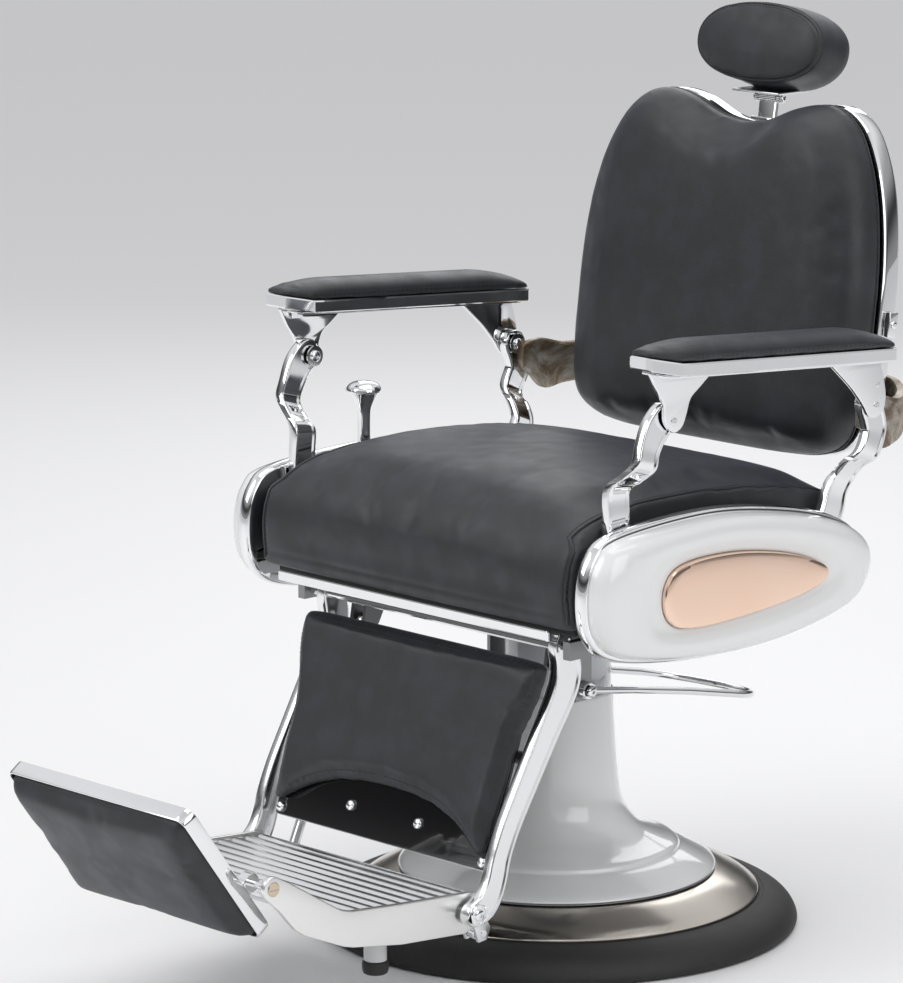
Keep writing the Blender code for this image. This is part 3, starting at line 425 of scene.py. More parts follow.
ENAMEL = Enamel("white_enamel", (0.86, 0.87, 0.865), 0.12)
# A darker, cooler copy of the white enamel: painted shade for the sleeve, which stands under the
# seat.
SHADED_SLEEVE_ENAMEL = Enamel("sleeve_enamel", (0.66, 0.69, 0.72), 0.10)
GLOSS_BLACK = Enamel("gloss_black", (0.008, 0.008, 0.009), 0.05, 0.00005, 0.2)
COPPER = Copper("copper", (0.93, 0.63, 0.47), 0.10)
BRONZE = Brushed("bearing_bronze", (0.72, 0.55, 0.28), 0.32)
LEG = Enamel("foot_grey", (0.62, 0.63, 0.64), 0.25)
RUBBER = Moulded("rubber", (0.017, 0.017, 0.018), 0.50)
# Near-black plywood for the seat pan: painted shade, so the gap under the seat reads dark.
PLYWOOD = Wood("stained_plywood", (0.020, 0.018, 0.017), 0.50)

SLOT_FINISH = {
    "chrome": CHROME, "polished_aluminium": POLISHED, "cast_aluminium": CAST,
    "steel": STEEL, "stainless": DISH, "white_enamel": ENAMEL, "copper": COPPER,
    "black_leather": BLACK_LEATHER, "black_gloss": GLOSS_BLACK, "rubber": RUBBER,
    "bearing_bronze": BRONZE, "plywood": PLYWOOD, "cast_iron": CAST_IRON}


# ---------------------------------------------------------------- curves and outlines
def through(points: Points, cuts: int, closed: bool = False) -> np.ndarray:
    """Catmull-Rom points through the given ones.

    Args:
        points: knots of any dimension.
        cuts: steps from each knot to the next.
        closed: whether the last knot joins the first.

    Returns:
        The points as rows.
    """
    knots = np.array(points, float)
    count = len(knots)
    rows = []
    for i in range(count if closed else count - 1):
        where = [i - 1, i, i + 1, i + 2]
        where = [k % count if closed else min(max(k, 0), count - 1) for k in where]
        a, b, c, d = knots[where]
        for step in range(cuts):
            t = step / cuts
            rows.append(0.5 * (2 * b + (c - a) * t + (2 * a - 5 * b + 4 * c - d) * t * t
                               + (3 * b - 3 * c + d - a) * t ** 3))
    if not closed:
        rows.append(knots[-1])
    return np.array(rows)


def both_halves(points: Points) -> np.ndarray:
    """Mirror an outline that runs from the bottom middle to the top middle."""
    half = np.array(points, float)
    other = half[1:-1][::-1] * (-1, 1)
    return np.vstack([half, other])


def evenly(points: np.ndarray, count: int) -> np.ndarray:
    """A closed outline's points, respaced evenly along it."""
    ends = np.vstack([points, points[:1]])
    run = np.concatenate([[0], np.cumsum(np.linalg.norm(np.diff(ends, axis=0), axis=1))])
    at = np.linspace(0, run[-1], count, endpoint=False)
    return np.column_stack([np.interp(at, run, ends[:, k]) for k in range(ends.shape[1])])


def by_angle(points: Points, centre: Sequence[float], half: Sequence[float],
             count: int) -> np.ndarray:
    """An outline's points at even angles round a centre.

    Args:
        points: the outline's knots.
        centre: where the rays start.
        half: the outline's half sizes, which the angles are squeezed by.
        count: how many points.

    Returns:
        The points as rows.
    """
    fine = (through(points, 12, True) - centre) / half
    angle = np.arctan2(fine[:, 1], fine[:, 0])
    order = np.argsort(angle)
    at = np.linspace(-np.pi, np.pi, count, endpoint=False)
    radius = np.interp(at, angle[order], np.hypot(*fine.T)[order], period=2 * np.pi)
    return np.column_stack([np.cos(at), np.sin(at)]) * radius[:, None] * half + centre


def inset(outline: np.ndarray, amount: float) -> np.ndarray:
    """Move a closed plane outline inwards along its normals."""
    ahead = np.roll(outline, -1, 0) - np.roll(outline, 1, 0)
    ahead /= np.linalg.norm(ahead, axis=1)[:, None]
    nx, ny = ahead[:, 1], -ahead[:, 0]
    turning = np.sum(outline[:, 0] * np.roll(outline[:, 1], -1)
                     - np.roll(outline[:, 0], -1) * outline[:, 1])
    return outline - np.column_stack([nx, ny]) * amount * math.copysign(1.0, turning)


def leaned(origin: Sequence[float], across: float) -> Matrix:
    """Axes with x across the chair, y along a direction in YZ, z square to both.

    Args:
        origin: (y, z) of the frame's corner on the middle plane.
        across: the y axis's angle from +Y, in radians.

    Returns:
        The frame's matrix.
    """
    along = Vector((0, math.cos(across), math.sin(across)))
    out = Vector((0, math.sin(across), -math.cos(across)))
    return Matrix(((1, 0, 0, 0), (0, along.y, out.y, origin[0]),
                   (0, along.z, out.z, origin[1]), (0, 0, 0, 1)))


# ---------------------------------------------------------------- modelling
class Bench:
    """Modelling operators on one piece at a time."""

    @staticmethod
    def only(item: bpy.types.Object) -> None:
        """Select one piece alone."""
        bpy.ops.object.select_all(action="DESELECT")
        item.select_set(True)
        bpy.context.view_layer.objects.active = item

    @classmethod
    def edit(cls, item: bpy.types.Object) -> bmesh.types.BMesh:
        """Open a piece for editing, with all of it selected."""
        cls.only(item)
        bpy.ops.object.mode_set(mode="EDIT")
        bpy.ops.mesh.select_all(action="SELECT")
        return bmesh.from_edit_mesh(item.data)

    @staticmethod
    def close(item: bpy.types.Object, merge: float = 0.0) -> bpy.types.Object:
        """Face everything outwards and leave edit mode.

        Args:
            item: the piece in edit mode.
            merge: how close points have to be to become one; 0 leaves them.

        Returns:
            The piece.
        """
        bpy.ops.mesh.select_all(action="SELECT")
        if merge:
            bpy.ops.mesh.remove_doubles(threshold=merge)
        bpy.ops.mesh.normals_make_consistent(inside=False)
        bpy.ops.object.mode_set(mode="OBJECT")
        return item

    @classmethod
    def outline(cls, count: int, fill: str) -> bpy.types.Object:
        """Add a circle of so many points, to be drawn into a shape."""
        bpy.ops.object.select_all(action="DESELECT")
        bpy.ops.mesh.primitive_circle_add(vertices=count, radius=1.0, fill_type=fill)
        return bpy.context.object

    @classmethod
    def drawn(cls, rings: Sequence[Points]) -> bpy.types.Object:
        """Draw a face and extrude it through a row of shapes.

        Args:
            rings: closed loops with the same number of (x, y, z) points.

        Returns:
            The closed piece.
        """
        item = cls.outline(len(rings[0]), "NGON")
        mesh = cls.edit(item)
        order = mesh.verts.layers.int.new("order")
        mesh.verts.ensure_lookup_table()
        for index, (vert, place) in enumerate(zip(mesh.verts, rings[0])):
            vert[order] = index
            vert.co = place
        bmesh.update_edit_mesh(item.data)
        for ring in rings[1:]:
            bpy.ops.mesh.extrude_region_move()
            mesh = bmesh.from_edit_mesh(item.data)
            order = mesh.verts.layers.int["order"]
            for vert in mesh.verts:
                if vert.select:
                    vert.co = ring[vert[order]]
            bmesh.update_edit_mesh(item.data)
        return cls.close(item)

    @classmethod
    def turned(cls, outline: Points, steps: int = 64, at: Sequence[float] = (0, 0, 0),
               axis: Sequence[float] = (0, 0, 1)) -> bpy.types.Object:
        """Spin a closed (radius, height) outline.

        Args:
            outline: points round the section.
            steps: how many faces round.
            at: the foot of the axis.
            axis: the direction of the axis.

        Returns:
            The closed piece.
        """
        item = cls.outline(len(outline), "NOTHING")
        mesh = cls.edit(item)
        mesh.verts.ensure_lookup_table()
        for vert, (radius, height) in zip(mesh.verts, outline):
            vert.co = (radius, 0, height)
        bmesh.update_edit_mesh(item.data)
        bpy.ops.mesh.spin(steps=steps, angle=math.tau, center=(0, 0, 0), axis=(0, 0, 1))
        cls.close(item, 1e-6)
        turn = Vector(axis).to_track_quat("Z", "Y").to_matrix().to_4x4()
        item.data.transform(Matrix.Translation(at) @ turn)
        return item

    @classmethod
    def plate(cls, outline: Points, low: float, high: float,
              bevel: float = 0.0, axis: int = 0) -> bpy.types.Object:
        """Give a flat outline a thickness.

        Args:
            outline: points in the two other axes.
            low: where the thickness starts along the axis.
            high: where it ends.
            bevel: the width of its rounded edges.
            axis: the axis that it is thick along.

        Returns:
            The closed piece.
        """
        def ring(depth: float) -> list[list[float]]:
            """The outline at one depth."""
            rows = [list(p) for p in outline]
            for row in rows:
                row.insert(axis, depth)
            return rows
        item = cls.drawn([ring(low), ring(high)])
        if bevel:
            cls.modify(item, "BEVEL", width=bevel, segments=3, limit_method="ANGLE",
                       angle_limit=math.radians(30))
        return item

    @classmethod
    def rod(cls, start: Sequence[float], end: Sequence[float], radius: float,
            edge: float = 0.0006, steps: int = 32) -> bpy.types.Object:
        """A round bar with broken edges between two points."""
        way = Vector(end) - Vector(start)
        long = way.length
        edge = min(edge, radius * 0.5)
        outline = [(0, 0), (radius - edge, 0), (radius, edge), (radius, long - edge),
                   (radius - edge, long), (0, long)]
        return cls.turned(outline, steps, start, way)

    @classmethod
    def tube(cls, points: Points, radius: float, closed: bool = False,
             around: int = 3) -> bpy.types.Object:
        """A round bar that follows points.

        Args:
            points: the bar's centre line.
            radius: the bar's radius.
            closed: whether it runs back to its start.
            around: the roundness of its section.

        Returns:
            The bar as a mesh.
        """
        bpy.ops.object.select_all(action="DESELECT")
        bpy.ops.curve.primitive_nurbs_path_add()
        item = bpy.context.object
        line = item.data
        line.splines.clear()
        spline = line.splines.new("POLY")
        spline.points.add(len(points) - 1)
        for knot, place in zip(spline.points, points):
            knot.co = (*place, 1.0)
        spline.use_cyclic_u = closed
        line.dimensions = "3D"
        line.bevel_depth = radius
        line.bevel_resolution = around
        line.use_fill_caps = not closed
        bpy.ops.object.convert(target="MESH")
        item = bpy.context.object
        cls.edit(item)
        return cls.close(item, 1e-6)

    @classmethod
    def modify(cls, item: bpy.types.Object, kind: str, **settings: object) -> bpy.types.Object:
        """Add a modifier, set it and apply it."""
        cls.only(item)
        step = item.modifiers.new(kind.lower(), kind)
        for key, setting in settings.items():
            setattr(step, key, setting)
        bpy.ops.object.modifier_apply(modifier=step.name)
        return item

    @classmethod
    def finer(cls, item: bpy.types.Object, levels: int = 1) -> bpy.types.Object:
        """Subdivide and smooth a piece."""
        return cls.modify(item, "SUBSURF", levels=levels, render_levels=levels)

    @classmethod
    def bevelled(cls, item: bpy.types.Object, width: float, segments: int = 3,
                 angle: float = 30.0) -> bpy.types.Object:
        """Round a piece's sharp edges."""
        return cls.modify(item, "BEVEL", width=width, segments=segments,
                          limit_method="ANGLE", angle_limit=math.radians(angle))

    @classmethod
    def less(cls, item: bpy.types.Object, cutter: bpy.types.Object) -> bpy.types.Object:
        """Cut one piece out of another."""
        cls.modify(item, "BOOLEAN", operation="DIFFERENCE", solver="EXACT", object=cutter)
        bpy.data.objects.remove(cutter, do_unlink=True)
        return item

    @classmethod
    def joined(cls, items: Sequence[bpy.types.Object]) -> bpy.types.Object:
        """Make several pieces one object."""
        cls.only(items[0])
        for item in items[1:]:
            item.select_set(True)
        bpy.ops.object.join()
        return bpy.context.object

    @classmethod
    def mirrored(cls, item: bpy.types.Object) -> bpy.types.Object:
        """Copy a piece to the other side of the chair."""
        copy = item.copy()
        copy.data = item.data.copy()
        bpy.context.scene.collection.objects.link(copy)
        copy.data.transform(Matrix.Scale(-1, 4, Vector((1, 0, 0))))
        cls.edit(copy)
        bpy.ops.mesh.flip_normals()
        bpy.ops.object.mode_set(mode="OBJECT")
        return copy

    @classmethod
    def shaded(cls, item: bpy.types.Object, angle: float = 35.0) -> bpy.types.Object:
        """Shade smooth, except over edges sharper than an angle in degrees."""
        cls.only(item)
        bpy.ops.object.shade_smooth_by_angle(angle=math.radians(angle))
        return item


# ---------------------------------------------------------------- placing
class Side(Enum):
    """The sitter's left is +X."""

    LEFT = 1
    RIGHT = -1

    @property
    def label(self) -> str:
        """The word used in names."""
        return self.name.lower()


PLACED: list[str] = []


def place(item: bpy.types.Object, name: str, body: str, finish: Finish, slot: str,
          replaces: Sequence[str] = (), fill: Optional[float] = None,
          angle: float = 35.0) -> bpy.types.Object:
    """Name a finished piece, dress it and hang it on its body.

    Args:
        item: the piece, with its place in its mesh.
        name: the piece's name.
        body: the moving body that it rides on.
        finish: its finish.
        slot: the record's slot that the finish belongs to; not used.
        replaces: the frame's nodes that it stands for.
        fill: how firmly a padded piece is stuffed; not used.
        angle: edges sharper than this stay sharp.

    Returns:
        The piece.
    """
    Bench.shaded(item, angle)
    item.name = item.data.name = name
    item.data.materials.clear()
    item.data.materials.append(finish.material())
    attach(item, body)
    if replaces:
        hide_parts(*replaces)
    PLACED.append(name)
    return item


def place_pair(item: bpy.types.Object, name: str, body: str, finish: Finish, slot: str,
               replaces: Sequence[str] = (), **options: object) -> None:
    """Place the left-hand piece and its mirror image.

    Args:
        item: the left piece.
        name: the name before "_left" or "_right".
        body: the body; a {} in it becomes the side.
        finish: the finish.
        slot: the record's slot.
        replaces: node names, each with a {} for the side.
        options: passed on to place().
    """
    other = Bench.mirrored(item)
    for piece, side in ((item, Side.LEFT), (other, Side.RIGHT)):
        place(piece, f"{name}_{side.label}", body.format(side.label), finish, slot,
              [node.format(side.label) for node in replaces], **options)


# ---------------------------------------------------------------- upholstery
@dataclass
class Stuffing:
    """How a pad is puffed: mesh size, air pressure and how far it may swell."""

    voxel: float = 0.006
    pressure: float = 4.0
    travel: float = 0.012
    frames: int = 20

    def puff(self, item: bpy.types.Object,
             limit: Optional[Callable[[np.ndarray], np.ndarray]] = None) -> bpy.types.Object:
        """Swell a closed form with a cloth simulation.

        Args:
            item: the closed form, a little smaller than the pad.
            limit: gives each point's allowed swelling, as a share of the travel.

        Returns:
            The pad, subdivided once.
        """
        Bench.modify(item, "REMESH", mode="VOXEL", voxel_size=self.voxel)
        before = self._points(item)
        after = self._inflated(item)
        move = after - before
        far = np.linalg.norm(move, axis=1)
        share = limit(before) if limit else np.ones(len(before))
        allowed = self.travel * share
        scale = np.minimum(1.0, allowed / np.maximum(far, 1e-9))
        item.data.vertices.foreach_set("co", (before + move * scale[:, None]).ravel())
        item.data.update()
        Bench.modify(item, "SMOOTH", factor=0.5, iterations=3)
        return Bench.finer(item)

    @staticmethod
    def _points(item: bpy.types.Object) -> np.ndarray:
        """The mesh's points as rows."""
        rows = np.zeros(len(item.data.vertices) * 3)
        item.data.vertices.foreach_get("co", rows)
        return rows.reshape(-1, 3)

    def _inflated(self, item: bpy.types.Object) -> np.ndarray:
        """Where the cloth's points are when it has swollen."""
        Bench.only(item)
        cloth = item.modifiers.new("cloth", "CLOTH")
        cloth.settings.use_pressure = True
        cloth.settings.uniform_pressure_force = self.pressure
        cloth.settings.effector_weights.gravity = 0.0
        cloth.settings.quality = 4
        cloth.point_cache.frame_end = self.frames
        scene = bpy.context.scene
        for frame in range(1, self.frames + 1):
            scene.frame_set(frame)
        graph = bpy.context.evaluated_depsgraph_get()
        shown = item.evaluated_get(graph)
        rows = np.zeros(len(shown.data.vertices) * 3)
        shown.data.vertices.foreach_get("co", rows)
        item.modifiers.remove(cloth)
        scene.frame_set(1)
        return rows.reshape(-1, 3)


class Tailor:
    """Seams, piping and stitches on a finished pad."""

    def __init__(self, pad: bpy.types.Object) -> None:
        """Measure the pad.

        Args:
            pad: the padded piece, with its final mesh.
        """
        self.pad = pad
        self.skin = BVHTree.FromObject(pad, bpy.context.evaluated_depsgraph_get())

    def onto(self, points: Points, proud: float = 0.0) -> np.ndarray:
        """Lay a line on the pad.

        Args:
            points: the line near the skin.
            proud: how far it stands out of the skin.

        Returns:
            The line's points on the skin.
        """
        rows = []
        for point in points:
            near, normal, _, _ = self.skin.find_nearest(Vector(point))
            rows.append(near + normal * proud)
        return np.array([tuple(row) for row in rows])

    def groove(self, points: Points, width: float, depth: float) -> None:
        """Draw the skin in along a line, as a seam does."""
        line = KDTree(len(points))
        for index, point in enumerate(points):
            line.insert(Vector(point), index)
        line.balance()
        for vert in self.pad.data.vertices:
            _, _, far = line.find(vert.co)
            if far < 3 * width:
                vert.co -= vert.normal * depth * math.exp(-((far / width) ** 2))
        self.pad.data.update()
        self.skin = BVHTree.FromObject(self.pad, bpy.context.evaluated_depsgraph_get())

    def piping(self, points: Points, radius: float, closed: bool,
               proud: float = 0.0) -> bpy.types.Object:
        """A covered cord along a seam."""
        return Bench.tube(self.onto(points, proud), radius, closed, 2)

    def stitches(self, points: Points, pitch: float = 0.006, radius: float = 0.00045,
                 proud: float = 0.0002) -> bpy.types.Object:
        """A row of short thread stitches along a line.

        Args:
            points: the line, closely spaced.
            pitch: from one stitch to the next.
            radius: the thread's radius.
            proud: how far the thread stands out of the skin.

        Returns:
            All the stitches as one piece.
        """
        line = self.onto(points, proud)
        run = np.concatenate([[0], np.cumsum(np.linalg.norm(np.diff(line, axis=0), axis=1))])
        mesh = bmesh.new()
        for start in np.arange(0, run[-1] - pitch, pitch):
            ends = [Vector([np.interp(at, run, line[:, k]) for k in range(3)])
                    for at in (start, start + pitch * 0.68)]
            way = ends[1] - ends[0]
            if way.length < 1e-6:
                continue
            turn = way.to_track_quat("Z", "Y").to_matrix().to_4x4()
            bmesh.ops.create_cone(mesh, cap_ends=True, segments=6, radius1=radius,
                                  radius2=radius, depth=way.length,
                                  matrix=Matrix.Translation((ends[0] + ends[1]) / 2) @ turn)
        bpy.ops.object.select_all(action="DESELECT")
        bpy.ops.mesh.primitive_circle_add(vertices=3)
        item = bpy.context.object
        mesh.to_mesh(item.data)
        mesh.free()
        return item


# ---------------------------------------------------------------- fasteners
def bolt(at: Sequence[float], out: Sequence[float], radius: float,
         height: float, socket: bool = True) -> bpy.types.Object:
    """A domed bolt head, with a hexagon socket if asked.

    Args:
        at: the middle of its seat.
        out: the way that it faces.
        radius: the head's radius.
        height: the head's height.
        socket: whether it has a hexagon socket.

    Returns:
        The head.
    """
    dome = [(0, 0)] + [(radius * math.cos(a), height * (0.25 + 0.75 * math.sin(a)))
                       for a in np.linspace(0, math.radians(86), 7)]
    outline = [(0, 0), (radius, 0)] + dome[1:] + [(0, height)]
    head = Bench.turned(outline, 28, at, out)
    if socket:
        facing = Vector(out).normalized()
        low = Vector(at) + facing * height * 0.45
        cutter = Bench.turned([(0, 0), (radius * 0.42, 0), (radius * 0.42, height),
                               (0, height)], 6, low, out)
        head = Bench.less(head, cutter)
    return head


def slotted(at: Sequence[float], out: Sequence[float], radius: float,
            height: float) -> bpy.types.Object:
    """A countersunk screw head with a slot across it."""
    head = Bench.turned([(0, 0), (radius * 0.9, 0), (radius, height * 0.4),
                         (radius * 0.92, height * 0.85), (radius * 0.7, height),
                         (0, height)], 24, at, out)
    facing = Vector(out).normalized()
    middle = Vector(at) + facing * height
    bpy.ops.object.select_all(action="DESELECT")
    bpy.ops.mesh.primitive_cube_add(size=1.0)
    cutter = bpy.context.object
    turn = facing.to_track_quat("Z", "Y").to_matrix().to_4x4()
    cutter.data.transform(Matrix.Translation(middle) @ turn
                          @ Matrix.Diagonal((radius * 3, radius * 0.26, height * 0.9, 1)))
    return Bench.less(head, cutter)


# ---------------------------------------------------------------- bent bars
@dataclass
class Bar:
    """A flat bar with raised rims that follows a bent path.

    Each knot is (x, y, z, half width). Ends are rounded.
    """

    knots: Points
    thickness: float
    rim: float = 0.0042
    recess: float = 0.0022
    cuts: int = 6
    inner_recess: bool = True

    def section(self, half: float) -> list[tuple[float, float]]:
        """The bar's section for a half width: (across, through) points."""
        t = self.thickness / 2
        rim = min(self.rim, half * 0.45)
        slope = min(0.0016, half * 0.12)
        web = t - self.recess
        face = [(half, t - 0.0016), (half - 0.0006, t - 0.0006), (half - 0.0018, t),
                (half - rim, t), (half - rim - slope, web)]
        outer = face + [(-a, b) for a, b in reversed(face)]
        inner_face = face if self.inner_recess else [
            (half, t - 0.0016), (half - 0.0006, t - 0.0006), (half - 0.0018, t),
            (half - rim, t), (half - rim - slope, t)]
        inner = [(a, -b) for a, b in inner_face]
        return outer + [(-a, b) for a, b in inner] + [(a, b) for a, b in reversed(inner)]

    def made(self) -> bpy.types.Object:
        """Extrude the section along the path."""
        rows = through(self.knots, self.cuts)
        way = np.gradient(rows[:, :3], axis=0)
        way[:, 0] = 0.0
        way /= np.linalg.norm(way, axis=1)[:, None]
        centres, halves, ways = list(rows[:, :3]), list(rows[:, 3]), list(way)
        for at_end in (True, False):
            middle, half, along = ((centres[-1], halves[-1], ways[-1]) if at_end
                                   else (centres[0], halves[0], -ways[0]))
            for turn in np.radians((22, 42, 58, 70, 79)):
                spot = middle + along * half * math.sin(turn)
                thin = half * math.cos(turn)
                if at_end:
                    centres.append(spot), halves.append(thin), ways.append(along)
                else:
                    centres.insert(0, spot), halves.insert(0, thin), ways.insert(0, -along)
        rings = []
        for spot, half, along in zip(centres, halves, ways):
            across = np.array((0.0, -along[2], along[1]))
            rings.append([spot + across * a + np.array((b, 0, 0))
                          for a, b in self.section(half)])
        return Bench.drawn(rings)


# ---------------------------------------------------------------- base and column
@dataclass
class Base:
    """Rubber floor ring, stainless dish, white skirt and the seal under its hem."""

    column: float = 0.0708
    column_top: float = 0.300
    wall: float = 0.0025

    def build(self) -> None:
        """Make and place the base."""
        self.floor_ring()
        self.dish()
        self.skirt()

    def floor_ring(self) -> None:
        """The moulded ring that the chair stands on."""
        slope = through([(0.2640, 0.0398), (0.2750, 0.0362), (0.2880, 0.0300),
                         (0.2970, 0.0228), (0.3022, 0.0150), (0.3046, 0.0090),
                         (0.3048, 0.0052)], 4)
        outline = [(0.2556, 0), (0.2990, 0), (0.3020, 0.0008), (0.3040, 0.0024),
                   *slope[::-1], (0.2618, 0.0405), (0.2600, 0.0396), (0.2585, 0.0396),
                   (0.2572, 0.0405), (0.2556, 0.0400)]
        place(Bench.turned(outline, 160), "floor_ring", "base", RUBBER, "rubber",
              ["base_rubber_ring"])

    def dish(self) -> None:
        """The polished dish between ring and skirt."""
        top = through([(0.1985, 0.0700), (0.2040, 0.0690), (0.2180, 0.0640),
                       (0.2400, 0.0537), (0.2525, 0.0452), (0.2550, 0.0428)], 5)
        outline = [*top, (0.2550, 0.0409), (0.2533, 0.0409), *inset_line(top, 0.0018)[::-1]]
        place(Bench.turned(outline, 160), "base_dish", "base", DISH, "stainless",
              ["base_cover"])

    def skirt(self) -> None:
        """The white skirt with its stepped bead, and the grey seal under its hem."""
        upper = through([(self.column, self.column_top - 0.0015), (0.0712, 0.270),
                         (0.0745, 0.219), (0.0780, 0.181), (0.0830, 0.156),
                         (0.0940, 0.1372), (0.1085, 0.1222), (0.1297, 0.1120),
                         (0.1480, 0.1058)], 5)
        bead = through([(0.1480, 0.1058), (0.1530, 0.1030), (0.1548, 0.0998),
                        (0.1562, 0.0975), (0.1660, 0.0938), (0.1800, 0.0874),
                        (0.1930, 0.0808), (0.1990, 0.0765), (0.2005, 0.0740)], 5)
        outer = np.vstack([[(self.column - 0.0012, self.column_top)], upper[:-1], bead])
        inner = inset_line(outer, self.wall)
        outline = [*outer, (0.2000, 0.0735), *inner[::-1]]
        place(Bench.turned(outline, 144), "column_skirt_shell", "base", ENAMEL,
              "white_enamel", ["column_skirt"], angle=50.0)
        seal = [(0.1915, 0.0712), (0.1990, 0.0705), (0.2012, 0.0716), (0.2014, 0.0730),
                (0.1985, 0.0733), (0.1915, 0.0765)]
        place(Bench.turned(seal, 144), "skirt_seal", "base", STEEL, "steel")


def inset_line(line: np.ndarray, amount: float) -> np.ndarray:
    """Move an open line to its inner side, which is on the right of its way."""
    ahead = np.gradient(np.array(line, float), axis=0)
    ahead /= np.linalg.norm(ahead, axis=1)[:, None]
    return np.array(line) + np.column_stack([ahead[:, 1], -ahead[:, 0]]) * amount


@dataclass
class Column:
    """The rising sleeve and the foot pump's handle."""

    pump: tuple[float, float] = (-0.033, 0.315)
    half_width: float = 0.0845
    bend: float = 0.235
    slope: float = 0.225

    def build(self) -> None:
        """Make and place the sleeve and the pump handle."""
        outline = [(0.0650, 0.1105), (0.0670, 0.1100), (0.0677, 0.1110), (0.0677, 0.3835),
                   (0.0668, 0.3846), (0.0650, 0.3846)]
        # The sleeve wears the darker copy of the white enamel, as painted shade under the seat.
        place(Bench.turned(outline, 128), "rising_sleeve", "seat", SHADED_SLEEVE_ENAMEL,
              "white_enamel", ["telescopic_sleeve"])
        self.handle()

    def height(self, y: float) -> float:
        """The pump handle's height: it steepens to the rear."""
        past = y - self.pump[0]
        return self.pump[1] - 0.145 * past - 0.15 * past * past

    def handle(self) -> None:
        """The pump handle: a hoop of bar with an eye at each end."""
        y, z = self.pump
        radius = self.half_width
        fall = [(radius, along, self.height(along)) for along in (y + 0.006, 0.05, 0.15)]
        bow = []
        for angle in np.radians(np.arange(0, 181, 6)):
            across, along = radius * math.cos(angle), self.bend + radius * math.sin(angle)
            bow.append((across, along, self.height(along)))
        back = [(-a, b, c) for a, b, c in reversed(fall)]
        hoop = Bench.tube([*fall, *bow, *back], 0.0048, around=6)
        place(hoop, "pump_hoop", "pump", CHROME, "chrome", ["pump_handle"])
        eye = [(0.0053, 0), (0.0098, 0), (0.0113, 0.0014), (0.0113, 0.0096),
               (0.0098, 0.011), (0.0053, 0.011)]
        ring = Bench.turned(eye, 40, (radius - 0.0055, y, z), (1, 0, 0))
        place_pair(ring, "pump_eye", "pump", CHROME, "chrome")
        cap = bolt((0.0921, y, z), (1, 0, 0), 0.0078, 0.0042)
        place_pair(cap, "pump_pin_cap", "seat", CHROME, "steel")


# ---------------------------------------------------------------- side panels
PANEL_KNOTS = [
    (-0.259, 0.500), (-0.246, 0.545), (-0.205, 0.567), (-0.050, 0.575), (0.085, 0.558),
    (0.175, 0.533), (0.219, 0.503), (0.222, 0.468), (0.185, 0.430), (0.060, 0.406),
    (-0.080, 0.405), (-0.205, 0.422), (-0.249, 0.452)]
INSERT_KNOTS = [
    (-0.160, 0.488), (-0.135, 0.526), (-0.040, 0.531), (0.068, 0.513), (0.130, 0.485),
    (0.096, 0.462), (-0.038, 0.448), (-0.135, 0.452)]


@dataclass
class SidePanel:
    """White enamelled shell in a chrome tray, with a copper inlay."""

    face: float = 0.307
    centre: tuple[float, float] = (-0.017, 0.488)
    half: tuple[float, float] = (0.24, 0.085)
    inlay_centre: tuple[float, float] = (-0.022, 0.488)
    inlay_half: tuple[float, float] = (0.145, 0.042)
    count: int = 144
    # how far in from the rim (0) to the inlay (1), and how far out of the face
    relief: tuple[tuple[float, float], ...] = (
        (0.0, 0.0), (0.0, 0.0075), (0.012, 0.0120), (0.045, 0.0172), (0.10, 0.0222),
        (0.18, 0.0264), (0.30, 0.0294), (0.45, 0.0308), (0.56, 0.0307), (0.66, 0.0296),
        (0.74, 0.0276), (0.82, 0.0260), (0.92, 0.0253), (0.985, 0.0251), (1.0, 0.0245),
        (1.0, 0.0235), (1.04, 0.0230))

    def build(self) -> None:
        """Make and place both panels."""
        rim = by_angle(PANEL_KNOTS, self.centre, self.half, self.count)
        hole = by_angle(INSERT_KNOTS, self.inlay_centre, self.inlay_half, self.count)
        rings = []
        for share, out in self.relief:
            line = rim * (1 - share) + hole * share
            rings.append([(self.face + out, y, z) for y, z in line])
        place_pair(Bench.drawn(rings), "side_shell", "seat", ENAMEL, "white_enamel",
                   ["side_panel_{}"], angle=50.0)
        self.tray(rim)
        self.inlay(hole)

    def tray(self, rim: np.ndarray) -> None:
        """The chrome tray whose bulging edge frames the shell."""
        steps = [(-0.0200, 0.0010), (-0.0196, 0.0022), (-0.0180, 0.0042), (-0.0150, 0.0058),
                 (-0.0110, 0.0064), (-0.0070, 0.0060), (-0.0035, 0.0046), (-0.0012, 0.0032),
                 (-0.0003, 0.0018), (-0.0003, -0.0030)]
        rings = [[(self.face + x, y, z) for y, z in inset(rim, -out)] for x, out in steps]
        place_pair(Bench.drawn(rings), "side_tray", "seat", CHROME, "chrome",
                   ["side_trim_{}"], angle=60.0)

    def inlay(self, hole: np.ndarray) -> None:
        """The copper inlay: a bevelled rim and a slightly crowned face."""
        steps = [(0.0248, 1.0), (0.0290, 1.0), (0.0308, 0.990), (0.0318, 0.965),
                 (0.0324, 0.90), (0.0329, 0.78), (0.0333, 0.60), (0.0336, 0.38),
                 (0.0337, 0.15)]
        middle = np.array(self.inlay_centre)
        rings = [[(self.face + x, *(middle + (inset(hole, 0.0008)[i] - middle) * scale))
                  for i in range(self.count)] for x, scale in steps]
        place_pair(Bench.drawn(rings), "copper_inlay", "seat", COPPER, "copper",
                   ["panel_insert_{}"], angle=25.0)


